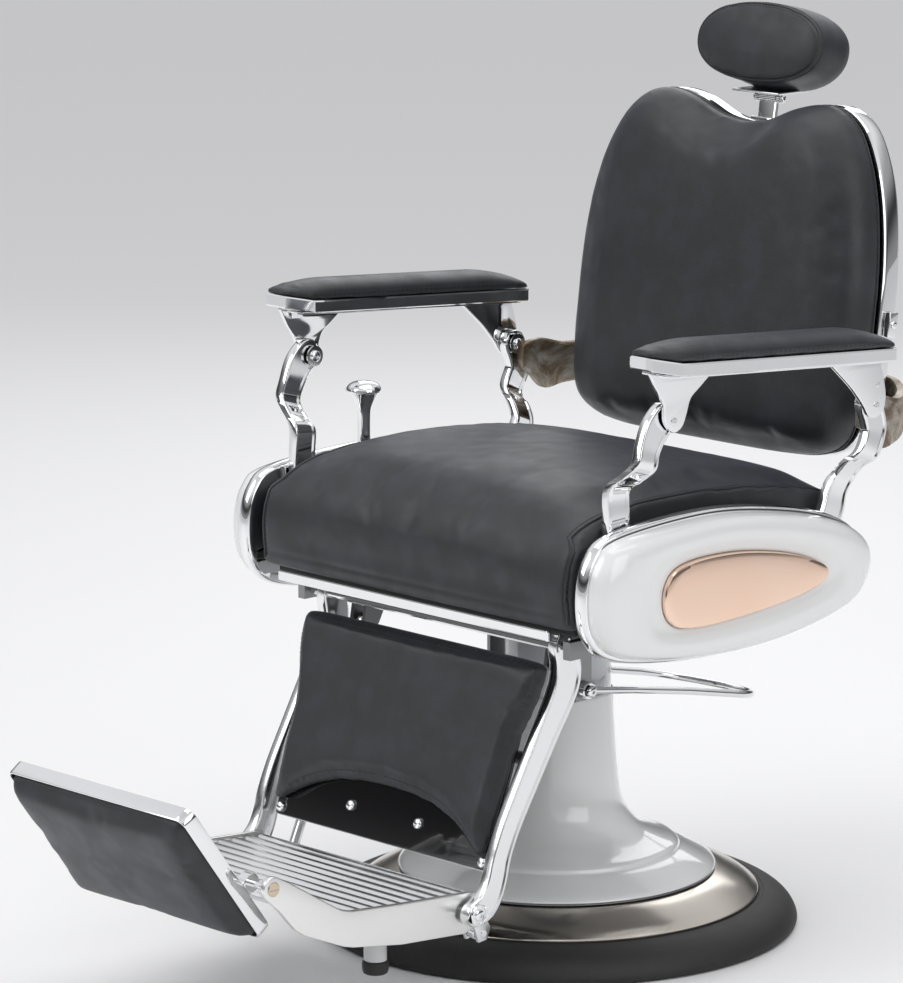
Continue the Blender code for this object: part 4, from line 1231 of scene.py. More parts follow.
# ---------------------------------------------------------------- seat
@dataclass
class Seat:
    """The padded seat with its front roll, and the lever beside it."""

    half: float = 0.2585
    ear: float = 0.0165
    low: float = 0.4570
    lever: tuple[float, float, float] = (-0.276, -0.074, 0.552)
    profile: tuple[tuple[float, float], ...] = (
        (0.236, 0.459), (0.243, 0.476), (0.244, 0.520), (0.238, 0.546), (0.222, 0.560),
        (0.190, 0.571), (0.140, 0.581), (0.060, 0.592), (-0.040, 0.598), (-0.120, 0.597),
        (-0.180, 0.590), (-0.222, 0.577), (-0.246, 0.558), (-0.257, 0.532),
        (-0.2605, 0.505), (-0.2590, 0.482), (-0.2570, 0.464), (-0.2550, 0.4560),
        (-0.2480, 0.4530), (-0.2360, 0.459))

    def build(self) -> None:
        """Make and place the seat's cushion and lever."""
        self.cushion()
        self.lever_and_knob()

    def reach(self, y: float) -> float:
        """Half width at a depth: the front roll wraps round the side frames."""
        share = min(1.0, max(0.0, (-0.229 - y) / 0.016))
        return self.half + self.ear * share * share * (3 - 2 * share)

    def cushion(self) -> None:
        """Puff the cushion, then draw in its seams."""
        line = through(self.profile, 3)
        rings = []
        for share in np.linspace(-1, 1, 41):
            edge = abs(share) ** 5
            ring = []
            for y, z in line:
                up = (z - self.low) / 0.14
                crown = (1 - share * share) * 0.010 * max(0.0, up - 0.55)
                drop = edge * 0.012 * max(0.0, up - 0.3)
                pull = edge * 0.004
                ring.append((share * self.reach(y), y + pull * (1 if y < 0 else -1),
                             z + crown - drop))
            rings.append(ring)
        item = Bench.drawn(rings)

        def limit(points: np.ndarray) -> np.ndarray:
            """Swell the top and the front, and hardly the sides and underside."""
            top = np.clip((points[:, 2] - 0.50) / 0.06, 0, 1)
            front = np.clip((-0.215 - points[:, 1]) / 0.03, 0, 1)
            side = np.clip((self.half - 0.004 - np.abs(points[:, 0])) / 0.05, 0.0, 1)
            low = np.clip((points[:, 2] - 0.470) / 0.02, 0, 1)
            return np.maximum(top * side, front * 0.5 * side * low) + 0.03
        item = Stuffing(travel=0.011).puff(item, limit)
        tailor = Tailor(item)
        seams = [self.side_seam(side, 0.0) for side in Side]
        for seam in seams:
            tailor.groove(seam, 0.0035, 0.0026)
        lower = [(x, -0.2585, 0.472) for x in np.linspace(-0.262, 0.262, 90)]
        tailor.groove(lower, 0.0035, 0.0020)
        place(item, "seat_pad", "seat", BLACK_LEATHER, "black_leather", ["seat_cushion"],
              fill=0.8, angle=60.0)
        for side, seam in zip(Side, seams):
            cord = tailor.piping(seam, 0.0021, False, 0.0006)
            place(cord, f"seat_piping_{side.label}", "seat", PIPING, "black_leather")
            row = tailor.stitches(self.side_seam(side, 0.0055))
            place(row, f"seat_stitching_{side.label}", "seat", THREAD, "black_leather")

    def side_seam(self, side: Side, inwards: float) -> list[tuple[float, float, float]]:
        """The seam that runs along the side's top edge and down the front corner."""
        knots = [(0.236, 0.535), (0.225, 0.553), (0.17, 0.566), (0.06, 0.580),
                 (-0.08, 0.584), (-0.18, 0.577), (-0.222, 0.566), (-0.246, 0.545),
                 (-0.256, 0.515), (-0.256, 0.485), (-0.250, 0.464)]
        return [(side.value * (self.reach(y) - 0.008 - inwards), y, z)
                for y, z in through(knots, 12)]

    def lever_and_knob(self) -> None:
        """A flared stem under a mushroom cap."""
        x, y, z = self.lever
        flare = through([(0.0085, 0.006), (0.0083, 0.050), (0.0087, 0.070), (0.0108, 0.081),
                         (0.0155, 0.0915), (0.0190, 0.0970)], 4)
        stem = Bench.turned([(0, 0.006), *flare, (0, 0.0970)], 40, (x, y, z))
        eye = Bench.rod((x - 0.005, y, z), (x + 0.005, y, z), 0.010)
        place(Bench.joined([stem, eye]), "lever_stem", "recline_lever", CHROME, "chrome",
              ["recline_lever"])
        cap = through([(0.0195, 0.0973), (0.0222, 0.0985), (0.0228, 0.1010),
                       (0.0212, 0.1050), (0.0165, 0.1092), (0.0090, 0.1116),
                       (0.0, 0.1124)], 4)
        knob = Bench.turned([(0, 0.0973), *cap], 48, (x, y - 0.0005, z))
        place(knob, "lever_cap", "recline_lever", CHROME, "chrome", ["recline_knob"])


# ---------------------------------------------------------------- posts and armrests
@dataclass
class Posts:
    """The four bent posts between the side panels and the armrests."""

    low: float = 0.276
    high: float = 0.3115
    thickness: float = 0.014
    front_pivot: tuple[float, float] = (-0.181, 0.533)
    recline_pivot: tuple[float, float] = (0.180, 0.506)
    arm_front: tuple[float, float] = (-0.135, 0.700)
    arm_rear: tuple[float, float] = (0.226, 0.673)

    def build(self) -> None:
        """Make and place the posts."""
        low, high = self.low, self.high
        front = [(low, *self.front_pivot, 0.0175), (low, -0.1810, 0.5550, 0.0175),
                 (low, -0.1810, 0.5850, 0.0175), (low, -0.1800, 0.6160, 0.0175),
                 (0.2940, -0.1765, 0.6320, 0.0170), (high, -0.1720, 0.6480, 0.0168),
                 (high, -0.1660, 0.6680, 0.0170), (high, -0.1550, 0.6900, 0.0195),
                 (high, -0.1420, 0.7030, 0.0195)]
        post = Bar(front, self.thickness, cuts=5).made()
        place_pair(post, "front_post_bar", "front_post_{}", CHROME, "chrome",
                   ["front_post_{}"], angle=40.0)
        rear = [(low, *self.recline_pivot, 0.0190), (low, 0.1980, 0.5380, 0.0195),
                (low, 0.2060, 0.5620, 0.0180), (low + 0.004, 0.2140, 0.5780, 0.0165),
                (0.2940, 0.2190, 0.5970, 0.0165), (high, 0.2240, 0.6120, 0.0165),
                (high, 0.2360, 0.6380, 0.0180), (high, 0.2340, 0.6550, 0.0180),
                (high, *self.arm_rear, 0.0180)]
        post = Bar(rear, self.thickness, cuts=5).made()
        place_pair(post, "rear_post_bar", "back", CHROME, "chrome", ["rear_post_{}"],
                   angle=40.0)
        for name, body, (y, z) in (("front_post_boss", "front_post_{}", self.arm_front),
                                   ("rear_post_boss", "back", self.arm_rear)):
            inner = high - self.thickness / 2
            boss = Bench.turned([(0, 0), (0.0120, 0), (0.0132, 0.0012), (0.0132, 0.0030),
                                 (0, 0.0030)], 40, (inner - 0.0008, y, z), (-1, 0, 0))
            head = bolt((inner - 0.0036, y, z), (-1, 0, 0), 0.0078, 0.0045)
            place_pair(Bench.joined([boss, head]), name, body, CHROME, "chrome")


@dataclass
class Armrest:
    """Chrome tray with a faceted nose, crowned pad and winged bracket."""

    middle: float = 0.319
    tray_height: float = 0.016
    front: float = -0.190
    rear: float = 0.238
    plan: tuple[tuple[float, float], ...] = (
        (-0.190, 0.0125), (-0.185, 0.0185), (-0.1475, 0.0328), (0.231, 0.0328),
        (0.236, 0.0290), (0.238, 0.0255))
    pivots: tuple[tuple[float, float], ...] = ((-0.135, 0.700), (0.226, 0.673))

    def top(self, y: float) -> float:
        """The tray's upper edge: it falls to the rear and lifts at the nose."""
        rise = 0.007 * (max(0.0, -0.135 - y) / 0.055) ** 2
        return 0.7733 - 0.0705 * (y + 0.135) + rise

    def build(self) -> None:
        """Make and place the armrests."""
        self.tray()
        self.pad()
        self.bracket()

    def around(self, shrink: float, count: int = 24) -> list[tuple[float, float]]:
        """The tray's plan, with even steps along its sides.

        Args:
            shrink: how far inside the tray's edge it runs.
            count: steps along each side.

        Returns:
            (x, y) points, once round.
        """
        front = [(y, half) for y, half in self.plan if y < -0.14]
        rear = [(y, half) for y, half in self.plan if y > 0.22]
        sides = [(y, self.plan[2][1]) for y in np.linspace(-0.1475, 0.231, count)[1:-1]]
        left = [*front, *sides, *rear]
        left = [(min(max(y, self.front + shrink), self.rear - shrink), half - shrink)
                for y, half in left]
        return ([(self.middle + half, y) for y, half in left]
                + [(self.middle - half, y) for y, half in reversed(left)])

    def tray(self) -> None:
        """The band that holds the pad."""
        def ring(shrink: float, up: Callable[[float], float]) -> list[tuple]:
            """The plan at a height that follows the arm."""
            return [(x, y, up(y)) for x, y in self.around(shrink)]
        rings = [ring(0.0014, lambda y: self.top(y) - self.tray_height),
                 ring(0.0, lambda y: self.top(y) - self.tray_height + 0.0014),
                 ring(0.0, lambda y: self.top(y) - 0.0022),
                 ring(0.0010, lambda y: self.top(y) - 0.0004),
                 ring(0.0030, lambda y: self.top(y))]
        place_pair(Bench.drawn(rings), "arm_tray", "armrest_{}", CHROME, "chrome",
                   ["armrest_tray_{}"], angle=20.0)

    def pad(self) -> None:
        """The leather pad, crowned across and along."""
        steps = [(0.0028, 0.0003), (0.0016, 0.0016), (0.0012, 0.0050), (0.0016, 0.0095),
                 (0.0032, 0.0135), (0.0068, 0.0175), (0.0120, 0.0208), (0.0180, 0.0231),
                 (0.0240, 0.0245), (0.0290, 0.0250)]
        rings = []
        for shrink, up in steps:
            ring = []
            for x, y in self.around(shrink, 30):
                end = min(y - self.front, self.rear - y)
                swell = min(1.0, 0.42 + 0.58 * math.sin(min(1.0, end / 0.085) * math.pi / 2))
                ring.append((x, y, self.top(y) + 0.0003 + (up - 0.0003) * swell))
            rings.append(ring)
        item = Bench.drawn(rings)
        Bench.modify(item, "REMESH", mode="VOXEL", voxel_size=0.0035)
        Bench.modify(item, "SMOOTH", factor=0.5, iterations=6)
        item = Bench.finer(item)
        tailor = Tailor(item)
        line = through([(x, y, self.top(y) + 0.0062) for x, y in self.around(0.0010, 16)],
                       3, True)
        tailor.groove(line, 0.0016, 0.0009)
        row = tailor.stitches(through([(x, y, self.top(y) + 0.0085)
                                       for x, y in self.around(0.0010, 16)], 3, True), 0.005)
        place_pair(item, "arm_pad", "armrest_{}", BLACK_LEATHER, "black_leather",
                   ["armrest_pad_{}"], fill=0.9, angle=60.0)
        place_pair(row, "arm_pad_stitching", "armrest_{}", THREAD, "black_leather")

    def under(self, y: float) -> float:
        """The tray's underside."""
        return self.top(y) - self.tray_height - 0.0003

    def bracket(self) -> None:
        """The strip under the tray and its two winged gussets."""
        strip = []
        for y in np.linspace(-0.165, 0.232, 30):
            high, low = self.under(y), self.under(y) - 0.004
            strip.append([(0.3010, y, high), (0.3365, y, high), (0.3365, y, low),
                          (0.3010, y, low)])
        parts = [Bench.bevelled(Bench.drawn(strip), 0.0008, 2)]
        wings = (
            [(-0.176, self.under(-0.176) - 0.002), (-0.166, 0.743), (-0.152, 0.722),
             (-0.149, 0.700), (-0.135, 0.6865), (-0.1205, 0.692), (-0.113, 0.7068),
             (-0.106, 0.7243), (-0.091, 0.7355), (-0.070, self.under(-0.070) - 0.002)],
            [(0.139, self.under(0.139) - 0.002), (0.175, 0.705), (0.190, 0.690),
             (0.203, 0.675), (0.213, 0.661), (0.226, 0.6585), (0.240, 0.667),
             (0.243, 0.690), (0.232, self.under(0.232) - 0.002)])
        for (y, z), knots in zip(self.pivots, wings):
            wing = through(knots, 4)
            gusset = Bench.plate(wing, 0.3193, 0.3255, 0.0014)
            parts.append(gusset)
            parts.append(Bench.rod((0.3045, y, z), (0.3195, y, z), 0.0048))
        item = Bench.joined(parts)
        place_pair(item, "arm_bracket", "armrest_{}", CHROME, "chrome",
                   ["armrest_bracket_{}"], angle=40.0)
        screws = [slotted((0.3255, y, z), (1, 0, 0), 0.0052, 0.0012) for y, z in self.pivots]
        y, z = self.pivots[1]
        screws.append(slotted((0.3255, y + 0.002, z + 0.026), (1, 0, 0), 0.0034, 0.0008))
        place_pair(Bench.joined(screws), "arm_screws", "armrest_{}", CHROME, "chrome")


# ---------------------------------------------------------------- back and headrest
BACK_KNOTS = [
    (0, -0.017), (0.120, -0.016), (0.190, -0.009), (0.228, 0.015), (0.241, 0.065),
    (0.246, 0.160), (0.243, 0.245), (0.230, 0.320), (0.209, 0.375), (0.182, 0.412),
    (0.142, 0.431), (0.095, 0.424), (0.045, 0.405), (0, 0.399)]


@dataclass
class Back:
    """The heart-topped back: cushion, chrome band, rear panel and cast arms."""

    foot: tuple[float, float] = (0.289, 0.592)
    lean: float = math.radians(8)
    middle: tuple[float, float] = (0.0, 0.205)
    count: int = 160
    frame: Matrix = field(init=False)
    outline: np.ndarray = field(init=False)

    def __post_init__(self) -> None:
        """Work out the back's axes and its outline."""
        self.frame = leaned(self.foot, math.pi / 2 - self.lean)
        half = through(BACK_KNOTS, 8)
        half[0, 0] = half[-1, 0] = 0.0
        self.outline = evenly(both_halves(half), self.count)

    def at(self, x: float, up: float, rear: float) -> tuple[float, float, float]:
        """A point given across, up the back and rearwards."""
        return tuple(self.frame @ Vector((x, up, rear)))

    def layers(self, steps: Sequence[tuple[float, float]]) -> list[list[tuple]]:
        """The outline at (rearward, inset) steps, with deep insets scaled."""
        rings = []
        for rear, amount in steps:
            near = min(amount, 0.020)
            line = inset(self.outline, near)
            size = 1.0 - (amount - near) / 0.22
            line = (line - self.middle) * size + self.middle
            rings.append([self.at(x, up, rear) for x, up in line])
        return rings

    def build(self) -> None:
        """Make and place the back."""
        self.cushion()
        self.band()
        self.panel()
        self.cast_arms()
        self.guide()

    def cushion(self) -> None:
        """Puff the front cushion, then pipe its edge."""
        steps = [(0.0085, 0.010), (0.0085, 0.0060), (0.0040, 0.0030), (-0.006, 0.0020),
                 (-0.018, 0.0025), (-0.030, 0.0050), (-0.040, 0.0110), (-0.047, 0.0200),
                 (-0.0510, 0.0400), (-0.0535, 0.0700), (-0.0550, 0.110), (-0.0555, 0.150)]
        item = Bench.drawn(self.layers(steps))
        inverse = self.frame.inverted()

        def limit(points: np.ndarray) -> np.ndarray:
            """Swell the front, little at the rim and not at the rear."""
            local = np.array([tuple(inverse @ Vector(p)) for p in points])
            depth = np.clip((-0.020 - local[:, 2]) / 0.02, 0, 1)
            edge = np.clip((0.235 - np.abs(local[:, 0])) / 0.06, 0.15, 1)
            return depth * edge + 0.04
        item = Stuffing(travel=0.011).puff(item, limit)
        tailor = Tailor(item)
        seam = [self.at(x, up, 0.0005) for x, up in inset(self.outline, 0.001)]
        tailor.groove(seam, 0.003, 0.0016)
        place(item, "back_pad", "back", BLACK_LEATHER, "black_leather", ["back_cushion"],
              fill=0.8, angle=60.0)
        place(tailor.piping(seam, 0.0019, True, 0.0004), "back_piping", "back", PIPING,
              "black_leather")

    def band(self) -> None:
        """The polished band round the rear half of the back."""
        section = [(0.0106, 0.0022), (0.0125, 0.0008), (0.0160, 0.0002), (0.0340, 0.0002),
                   (0.0375, 0.0010), (0.0395, 0.0026), (0.0400, 0.0050), (0.0400, 0.0078),
                   (0.0385, 0.0052), (0.0160, 0.0044), (0.0106, 0.0056)]
        rings = [[self.at(x, up, rear) for x, up in inset(self.outline, 0.0012 + amount)]
                 for rear, amount in section]
        rings.append(rings[0])
        item = Bench.drawn(rings)
        mesh = Bench.edit(item)
        caps = [face for face in mesh.faces if len(face.verts) > 4]
        bmesh.ops.delete(mesh, geom=caps, context="FACES_ONLY")
        bmesh.update_edit_mesh(item.data)
        item = Bench.close(item, 1e-6)
        slot = Bench.plate([(-0.0165, 0.36), (0.0165, 0.36), (0.0165, 0.44), (-0.0165, 0.44)],
                           0.0290, 0.0372, axis=2)
        slot.data.transform(self.frame)
        place(Bench.less(item, slot), "back_rim", "back", CHROME, "chrome", ["back_band"],
              angle=50.0)
        block = Bench.plate([(-0.008, -0.016), (0.008, -0.016), (0.008, 0.016),
                             (-0.008, 0.016)], 0.0, 0.010, 0.0016)
        block.data.transform(self.frame @ Matrix.Translation((0.2455, 0.165, 0.024))
                             @ Matrix.Rotation(math.pi / 2, 4, "X"))
        screw = bolt(self.at(0.2555, 0.165, 0.024), (1, 0, 0), 0.0052, 0.003)
        place_pair(Bench.joined([block, screw]), "rim_block", "back", CHROME, "chrome")

    def panel(self) -> None:
        """The padded panel on the back's rear face."""
        steps = [(0.0403, 0.0120), (0.0412, 0.0098), (0.0440, 0.0092), (0.0468, 0.0105),
                 (0.0484, 0.0140), (0.0492, 0.0220), (0.0496, 0.0500), (0.0498, 0.110)]
        item = Bench.drawn(self.layers(steps))
        Bench.modify(item, "REMESH", mode="VOXEL", voxel_size=0.005)
        Bench.modify(item, "SMOOTH", factor=0.4, iterations=4)
        item = Bench.finer(item)
        tailor = Tailor(item)
        seam = [self.at(x, up, 0.0500) for x, up in inset(self.outline, 0.030)]
        tailor.groove(seam, 0.003, 0.0016)
        row = tailor.stitches(np.array([self.at(x, up, 0.0500) for x, up
                                        in inset(self.outline, 0.034)]))
        place(item, "rear_panel_pad", "back", BLACK_LEATHER, "black_leather", ["back_panel"],
              fill=0.6, angle=60.0)
        place(row, "rear_panel_stitching", "back", THREAD, "black_leather")

    def cast_arms(self) -> None:
        """The rough cast arms from the posts round to the back."""
        # x, y, low, high, half thickness, share of the back's lean
        stations = through([
            (0.2955, 0.2260, 0.6420, 0.6720, 0.0052, 0.0),
            (0.2955, 0.2400, 0.6340, 0.6765, 0.0058, 0.0),
            (0.2950, 0.2660, 0.6110, 0.6775, 0.0062, 0.0),
            (0.2895, 0.3000, 0.6150, 0.6690, 0.0068, 0.3),
            (0.2700, 0.3320, 0.6180, 0.6720, 0.0066, 0.8),
            (0.2380, 0.3525, 0.6110, 0.6800, 0.0060, 1.0),
            (0.2050, 0.3540, 0.6100, 0.6820, 0.0058, 1.0)], 7)
        centres = stations[:, :2]
        way = np.gradient(centres, axis=0)
        way /= np.linalg.norm(way, axis=1)[:, None]
        rings = []
        for (x, y, low, high, half, share), (ax, ay) in zip(stations, way):
            nx, ny = ay, -ax
            middle, tall = (low + high) / 2, (high - low) / 2
            ring = []
            for out, up in ((-0.75, -1), (0.75, -1), (1.0, -0.86), (1.25, -0.25),
                            (1.25, 0.25), (1.0, 0.86), (0.75, 1), (-0.75, 1),
                            (-1.0, 0.86), (-1.0, 0.3), (-1.0, -0.3), (-1.0, -0.86)):
                z = middle + up * tall
                lean = share * math.tan(self.lean) * (z - 0.64)
                ring.append((x + nx * half * out, y + ny * half * out + lean, z))
            rings.append(ring)
        item = Bench.bevelled(Bench.drawn(rings), 0.0010, 2, 24.0)
        place_pair(item, "cast_arm", "back", CAST, "cast_aluminium", ["back_bracket_{}"],
                   angle=28.0)
        heads = []
        for up in (0.628, 0.662):
            rear = 0.3535 + math.tan(self.lean) * (up - 0.64) + 0.0068
            heads.append(bolt((0.216, rear, up), (0, math.cos(self.lean),
                                                 -math.sin(self.lean)), 0.0065, 0.0045))
        place_pair(Bench.joined(heads), "cast_arm_bolts", "back", CHROME, "chrome")

    def guide(self) -> None:
        """The rounded collar where the headrest's bar comes out of the band."""
        collar = Bench.plate([(-0.023, 0.3955), (0.023, 0.3955), (0.023, 0.4035),
                              (-0.023, 0.4035)], 0.0255, 0.0405, 0.0014, 2)
        hole = Bench.plate([(-0.0158, 0.38), (0.0158, 0.38), (0.0158, 0.42),
                            (-0.0158, 0.42)], 0.0292, 0.0368, axis=2)
        collar = Bench.less(collar, hole)
        collar.data.transform(self.frame)
        place(collar, "bar_collar", "back", CHROME, "chrome")


@dataclass
class Headrest:
    """The flat bar, its hinge and the oval cushion with two seams round its face."""

    back: Back
    pivot_up: float = 0.429
    bar_rear: float = 0.033
    tilt: float = math.radians(13)
    middle: tuple[float, float] = (0.388, 1.0785)
    half: tuple[float, float, float] = (0.109, 0.042, 0.052)

    def build(self) -> None:
        """Make and place the headrest."""
        bar = Bench.plate([(-0.0148, 0.205), (0.0148, 0.205), (0.0148, 0.4255),
                           (0.0125, 0.4265), (-0.0125, 0.4265), (-0.0148, 0.4255)],
                          0.0301, 0.0359, 0.0010, 2)
        bar.data.transform(self.back.frame)
        pivot = self.back.frame @ Vector((0, self.pivot_up, self.bar_rear))
        barrel = Bench.rod((-0.0149, pivot.y, pivot.z), (0.0149, pivot.y, pivot.z), 0.0062)
        place(Bench.joined([bar, barrel]), "headrest_bar", "headrest_post", CHROME, "chrome",
              ["headrest_post"])
        self.bracket(pivot)
        self.cushion()

    def bracket(self, pivot: Vector) -> None:
        """Hinge knuckles and the plate under the cushion."""
        top = pivot.z + 0.0078
        plate = Bench.plate([(-0.040, pivot.y - 0.028), (0.040, pivot.y - 0.028),
                             (0.040, pivot.y + 0.028), (-0.040, pivot.y + 0.028)],
                            top, top + 0.003, 0.0010, 2)
        parts = [plate]
        for side in Side:
            inner, outer = side.value * 0.0156, side.value * 0.0228
            parts.append(Bench.rod((inner, pivot.y, pivot.z), (outer, pivot.y, pivot.z),
                                   0.0062))
            low, high = sorted((inner, outer))
            web = Bench.plate([(pivot.y - 0.0045, pivot.z), (pivot.y + 0.0045, pivot.z),
                               (pivot.y + 0.007, top + 0.001), (pivot.y - 0.007, top + 0.001)],
                              low + 0.0002, high - 0.0002, 0.0008)
            parts.append(web)
            parts.append(bolt((outer, pivot.y, pivot.z), (side.value, 0, 0), 0.0050, 0.003))
        place(Bench.joined(parts), "headrest_hinge", "headrest", CHROME, "chrome",
              ["headrest_bracket"])

    def ellipse(self, depth: float, size: float, count: int = 72) -> list[tuple]:
        """The cushion's oval at a depth behind its middle, tilted as a whole."""
        wide, _, tall = self.half
        grow = 1.0 + 0.16 * max(0.0, depth) / 0.04
        ring = []
        for angle in np.linspace(0, math.tau, count, endpoint=False):
            c, s = math.cos(angle), math.sin(angle)
            x = wide * size * math.copysign(abs(c) ** 0.86, c)
            z = tall * size * math.copysign(abs(s) ** 0.92, s)
            if z < 0:
                z *= grow
            y = depth
            ring.append((x, self.middle[0] + y * math.cos(self.tilt) + z * math.sin(self.tilt),
                         self.middle[1] - y * math.sin(self.tilt) + z * math.cos(self.tilt)))
        return ring

    def cushion(self) -> None:
        """Puff the cushion and sew its two seams and their stitches."""
        steps = [(-0.0390, 0.30), (-0.0385, 0.62), (-0.0370, 0.82), (-0.0340, 0.93),
                 (-0.0290, 0.975), (-0.0180, 0.99), (0.000, 1.0), (0.0180, 1.0),
                 (0.0280, 0.97), (0.0345, 0.90), (0.0385, 0.74), (0.0400, 0.45)]
        item = Bench.drawn([self.ellipse(depth, size) for depth, size in steps])
        plane = self.middle[1] - 0.0555

        def limit(points: np.ndarray) -> np.ndarray:
            """Swell all round, except where the cushion sits on its plate."""
            return np.clip((points[:, 2] - plane - 0.004) / 0.03, 0.05, 1)
        item = Stuffing(0.0045, 4.0, 0.0045).puff(item, limit)
        tailor = Tailor(item)
        seam = np.array(self.ellipse(-0.0315, 1.0, 120))
        tailor.groove(seam, 0.0030, 0.0022)
        rear = np.array(self.ellipse(0.0310, 1.0, 120))
        tailor.groove(rear, 0.0030, 0.0018)
        rows = [tailor.stitches(np.array(self.ellipse(depth, size, 200)), 0.005)
                for depth, size in ((-0.0262, 1.02), (-0.0360, 0.93))]
        cord = tailor.piping(seam, 0.0016, True, 0.0003)
        place(item, "headrest_pad", "headrest", BLACK_LEATHER, "black_leather",
              ["headrest_cushion"], fill=0.85, angle=60.0)
        place(cord, "headrest_piping", "headrest", PIPING, "black_leather")
        place(Bench.joined(rows), "headrest_stitching", "headrest", THREAD, "black_leather")


# ---------------------------------------------------------------- legrest
@dataclass
class Legrest:
    """Two cast rails, the calf pad, its black kick plate and the foot shaft."""

    top: tuple[float, float] = (-0.232, 0.408)
    lean: float = math.radians(20.1)
    rail_x: float = 0.205
    rail_thickness: float = 0.015
    foot: tuple[float, float] = (-0.346, 0.116)
    frame: Matrix = field(init=False)

    def __post_init__(self) -> None:
        """Axes with y down the pad and z out of its face."""
        self.frame = leaned(self.top, 1.5 * math.pi - self.lean)

    def at(self, x: float, down: float, out: float) -> tuple[float, float, float]:
        """A point given across, down the pad and out of its face."""
        return tuple(self.frame @ Vector((x, down, out)))

    def build(self) -> None:
        """Make and place the legrest."""
        self.rails()
        self.pad()
        self.plate_and_bolts()
        self.foot_shaft()

    def rails(self) -> None:
        """The two rails, broad at the hinge and waisted above the foot."""
        x = self.rail_x
        knots = [(x, -0.2010, 0.4300, 0.0125), (x, -0.2005, 0.4180, 0.0165),
                 (x, -0.1940, 0.3980, 0.0200), (x, -0.1945, 0.3780, 0.0212),
                 (x, -0.2030, 0.3570, 0.0200), (x, -0.2300, 0.3130, 0.0178),
                 (x, -0.2640, 0.2560, 0.0162), (x, -0.2880, 0.2150, 0.0152),
                 (x, -0.3040, 0.1800, 0.0150), (x, -0.3110, 0.1550, 0.0156),
                 (x, -0.3190, 0.1360, 0.0166), (x, -0.3310, 0.1220, 0.0172),
                 (x, -0.3470, 0.1160, 0.0150)]
        rail = Bar(knots, self.rail_thickness, 0.0050, 0.0020, 5, False).made()
        place_pair(rail, "rail_bar", "legrest", POLISHED, "polished_aluminium",
                   ["legrest_rail_{}"], angle=40.0)

    def outline(self, count: int = 128) -> np.ndarray:
        """The pad's outline: waisted above, with an arched lower edge."""
        half = through([(0, 0.196), (0.070, 0.201), (0.125, 0.217), (0.165, 0.238),
                        (0.1855, 0.247), (0.1905, 0.225), (0.1945, 0.160),
                        (0.1965, 0.108), (0.205, 0.075), (0.2125, 0.042), (0.2135, 0.014),
                        (0.200, 0.0015), (0.100, 0), (0, 0)], 6)
        half[0, 0] = half[-1, 0] = 0.0
        return evenly(both_halves(half), count)

    def pad(self) -> None:
        """Puff the calf pad and stitch its edge."""
        line = self.outline()
        steps = [(-0.0112, 0.0080), (-0.0105, 0.0040), (-0.0070, 0.0020), (-0.0020, 0.0022),
                 (0.0020, 0.0045), (0.0045, 0.0090), (0.0062, 0.0160)]
        rings = [[self.at(x, down, out) for x, down in inset(line, amount)]
                 for out, amount in steps]
        item = Bench.drawn(rings)
        inverse = self.frame.inverted()

        def limit(points: np.ndarray) -> np.ndarray:
            """Swell the face only."""
            depth = np.array([(inverse @ Vector(p))[2] for p in points])
            return np.clip((depth + 0.004) / 0.008, 0, 1) + 0.02
        item = Stuffing(0.0045, 4.0, 0.0065).puff(item, limit)
        tailor = Tailor(item)
        seam = [self.at(x, down, 0.0045) for x, down in inset(line, 0.0085)]
        tailor.groove(seam, 0.0025, 0.0014)
        row = tailor.stitches(np.array([self.at(x, down, 0.0050)
                                        for x, down in inset(line, 0.0125)]))
        place(item, "calf_pad", "legrest", BLACK_LEATHER, "black_leather", ["legrest_pad"],
              fill=0.8, angle=60.0)
        place(row, "calf_pad_stitching", "legrest", THREAD, "black_leather")

    def plate_and_bolts(self) -> None:
        """The gloss kick plate with its thin bright hem, and four dome bolts."""
        corner = 0.006
        arc = [(0.188 - corner + corner * math.sin(a), 0.262 - corner + corner * math.cos(a))
               for a in np.radians((0, 30, 60, 90))]
        shape = [(0.188, 0.0145), *arc[::-1]]
        shape = shape + [(-x, down) for x, down in reversed(shape)]
        plate = Bench.plate(shape, -0.0168, -0.0121, 0.0010, 2)
        plate.data.transform(self.frame)
        place(plate, "kick_panel", "legrest", GLOSS_BLACK, "black_gloss", ["kick_plate"])
        hem = Bench.plate([(-0.186, 0.2588), (0.186, 0.2588), (0.186, 0.2628),
                           (-0.186, 0.2628)], -0.0205, -0.0170, 0.0008, 2)
        hem.data.transform(self.frame)
        heads = [hem]
        for x, down in ((-0.18, 0.2525), (-0.06, 0.228), (0.06, 0.228), (0.18, 0.2525)):
            heads.append(bolt(self.at(x, down, -0.0120), self.frame.col[2][:3],
                              0.0068, 0.0048, False))
            heads.append(Bench.rod(self.at(x, down, -0.0206), self.at(x, down, -0.0118),
                                   0.0037))
        place(Bench.joined(heads), "kick_panel_bolts", "legrest", CHROME, "chrome",
              ["kick_plate_bolts"])

    def foot_shaft(self) -> None:
        """The shaft through the rails' lower eyes, with a ringed bolt at each end."""
        y, z = self.foot
        end = self.rail_x + self.rail_thickness / 2
        shaft = Bench.rod((-end, y, z), (end, y, z), 0.006)
        place(shaft, "foot_shaft_bar", "legrest", CHROME, "chrome", ["foot_shaft"])
        ring = Bench.turned([(0, 0), (0.0122, 0), (0.0132, 0.0010), (0.0132, 0.0022),
                             (0.0122, 0.0030), (0.0104, 0.0030), (0.0098, 0.0018),
                             (0, 0.0018)], 40, (end + 0.0002, y, z), (1, 0, 0))
        head = bolt((end + 0.0019, y, z), (1, 0, 0), 0.0074, 0.0030)
        place_pair(Bench.joined([ring, head]), "foot_shaft_cap", "legrest", CHROME, "chrome")


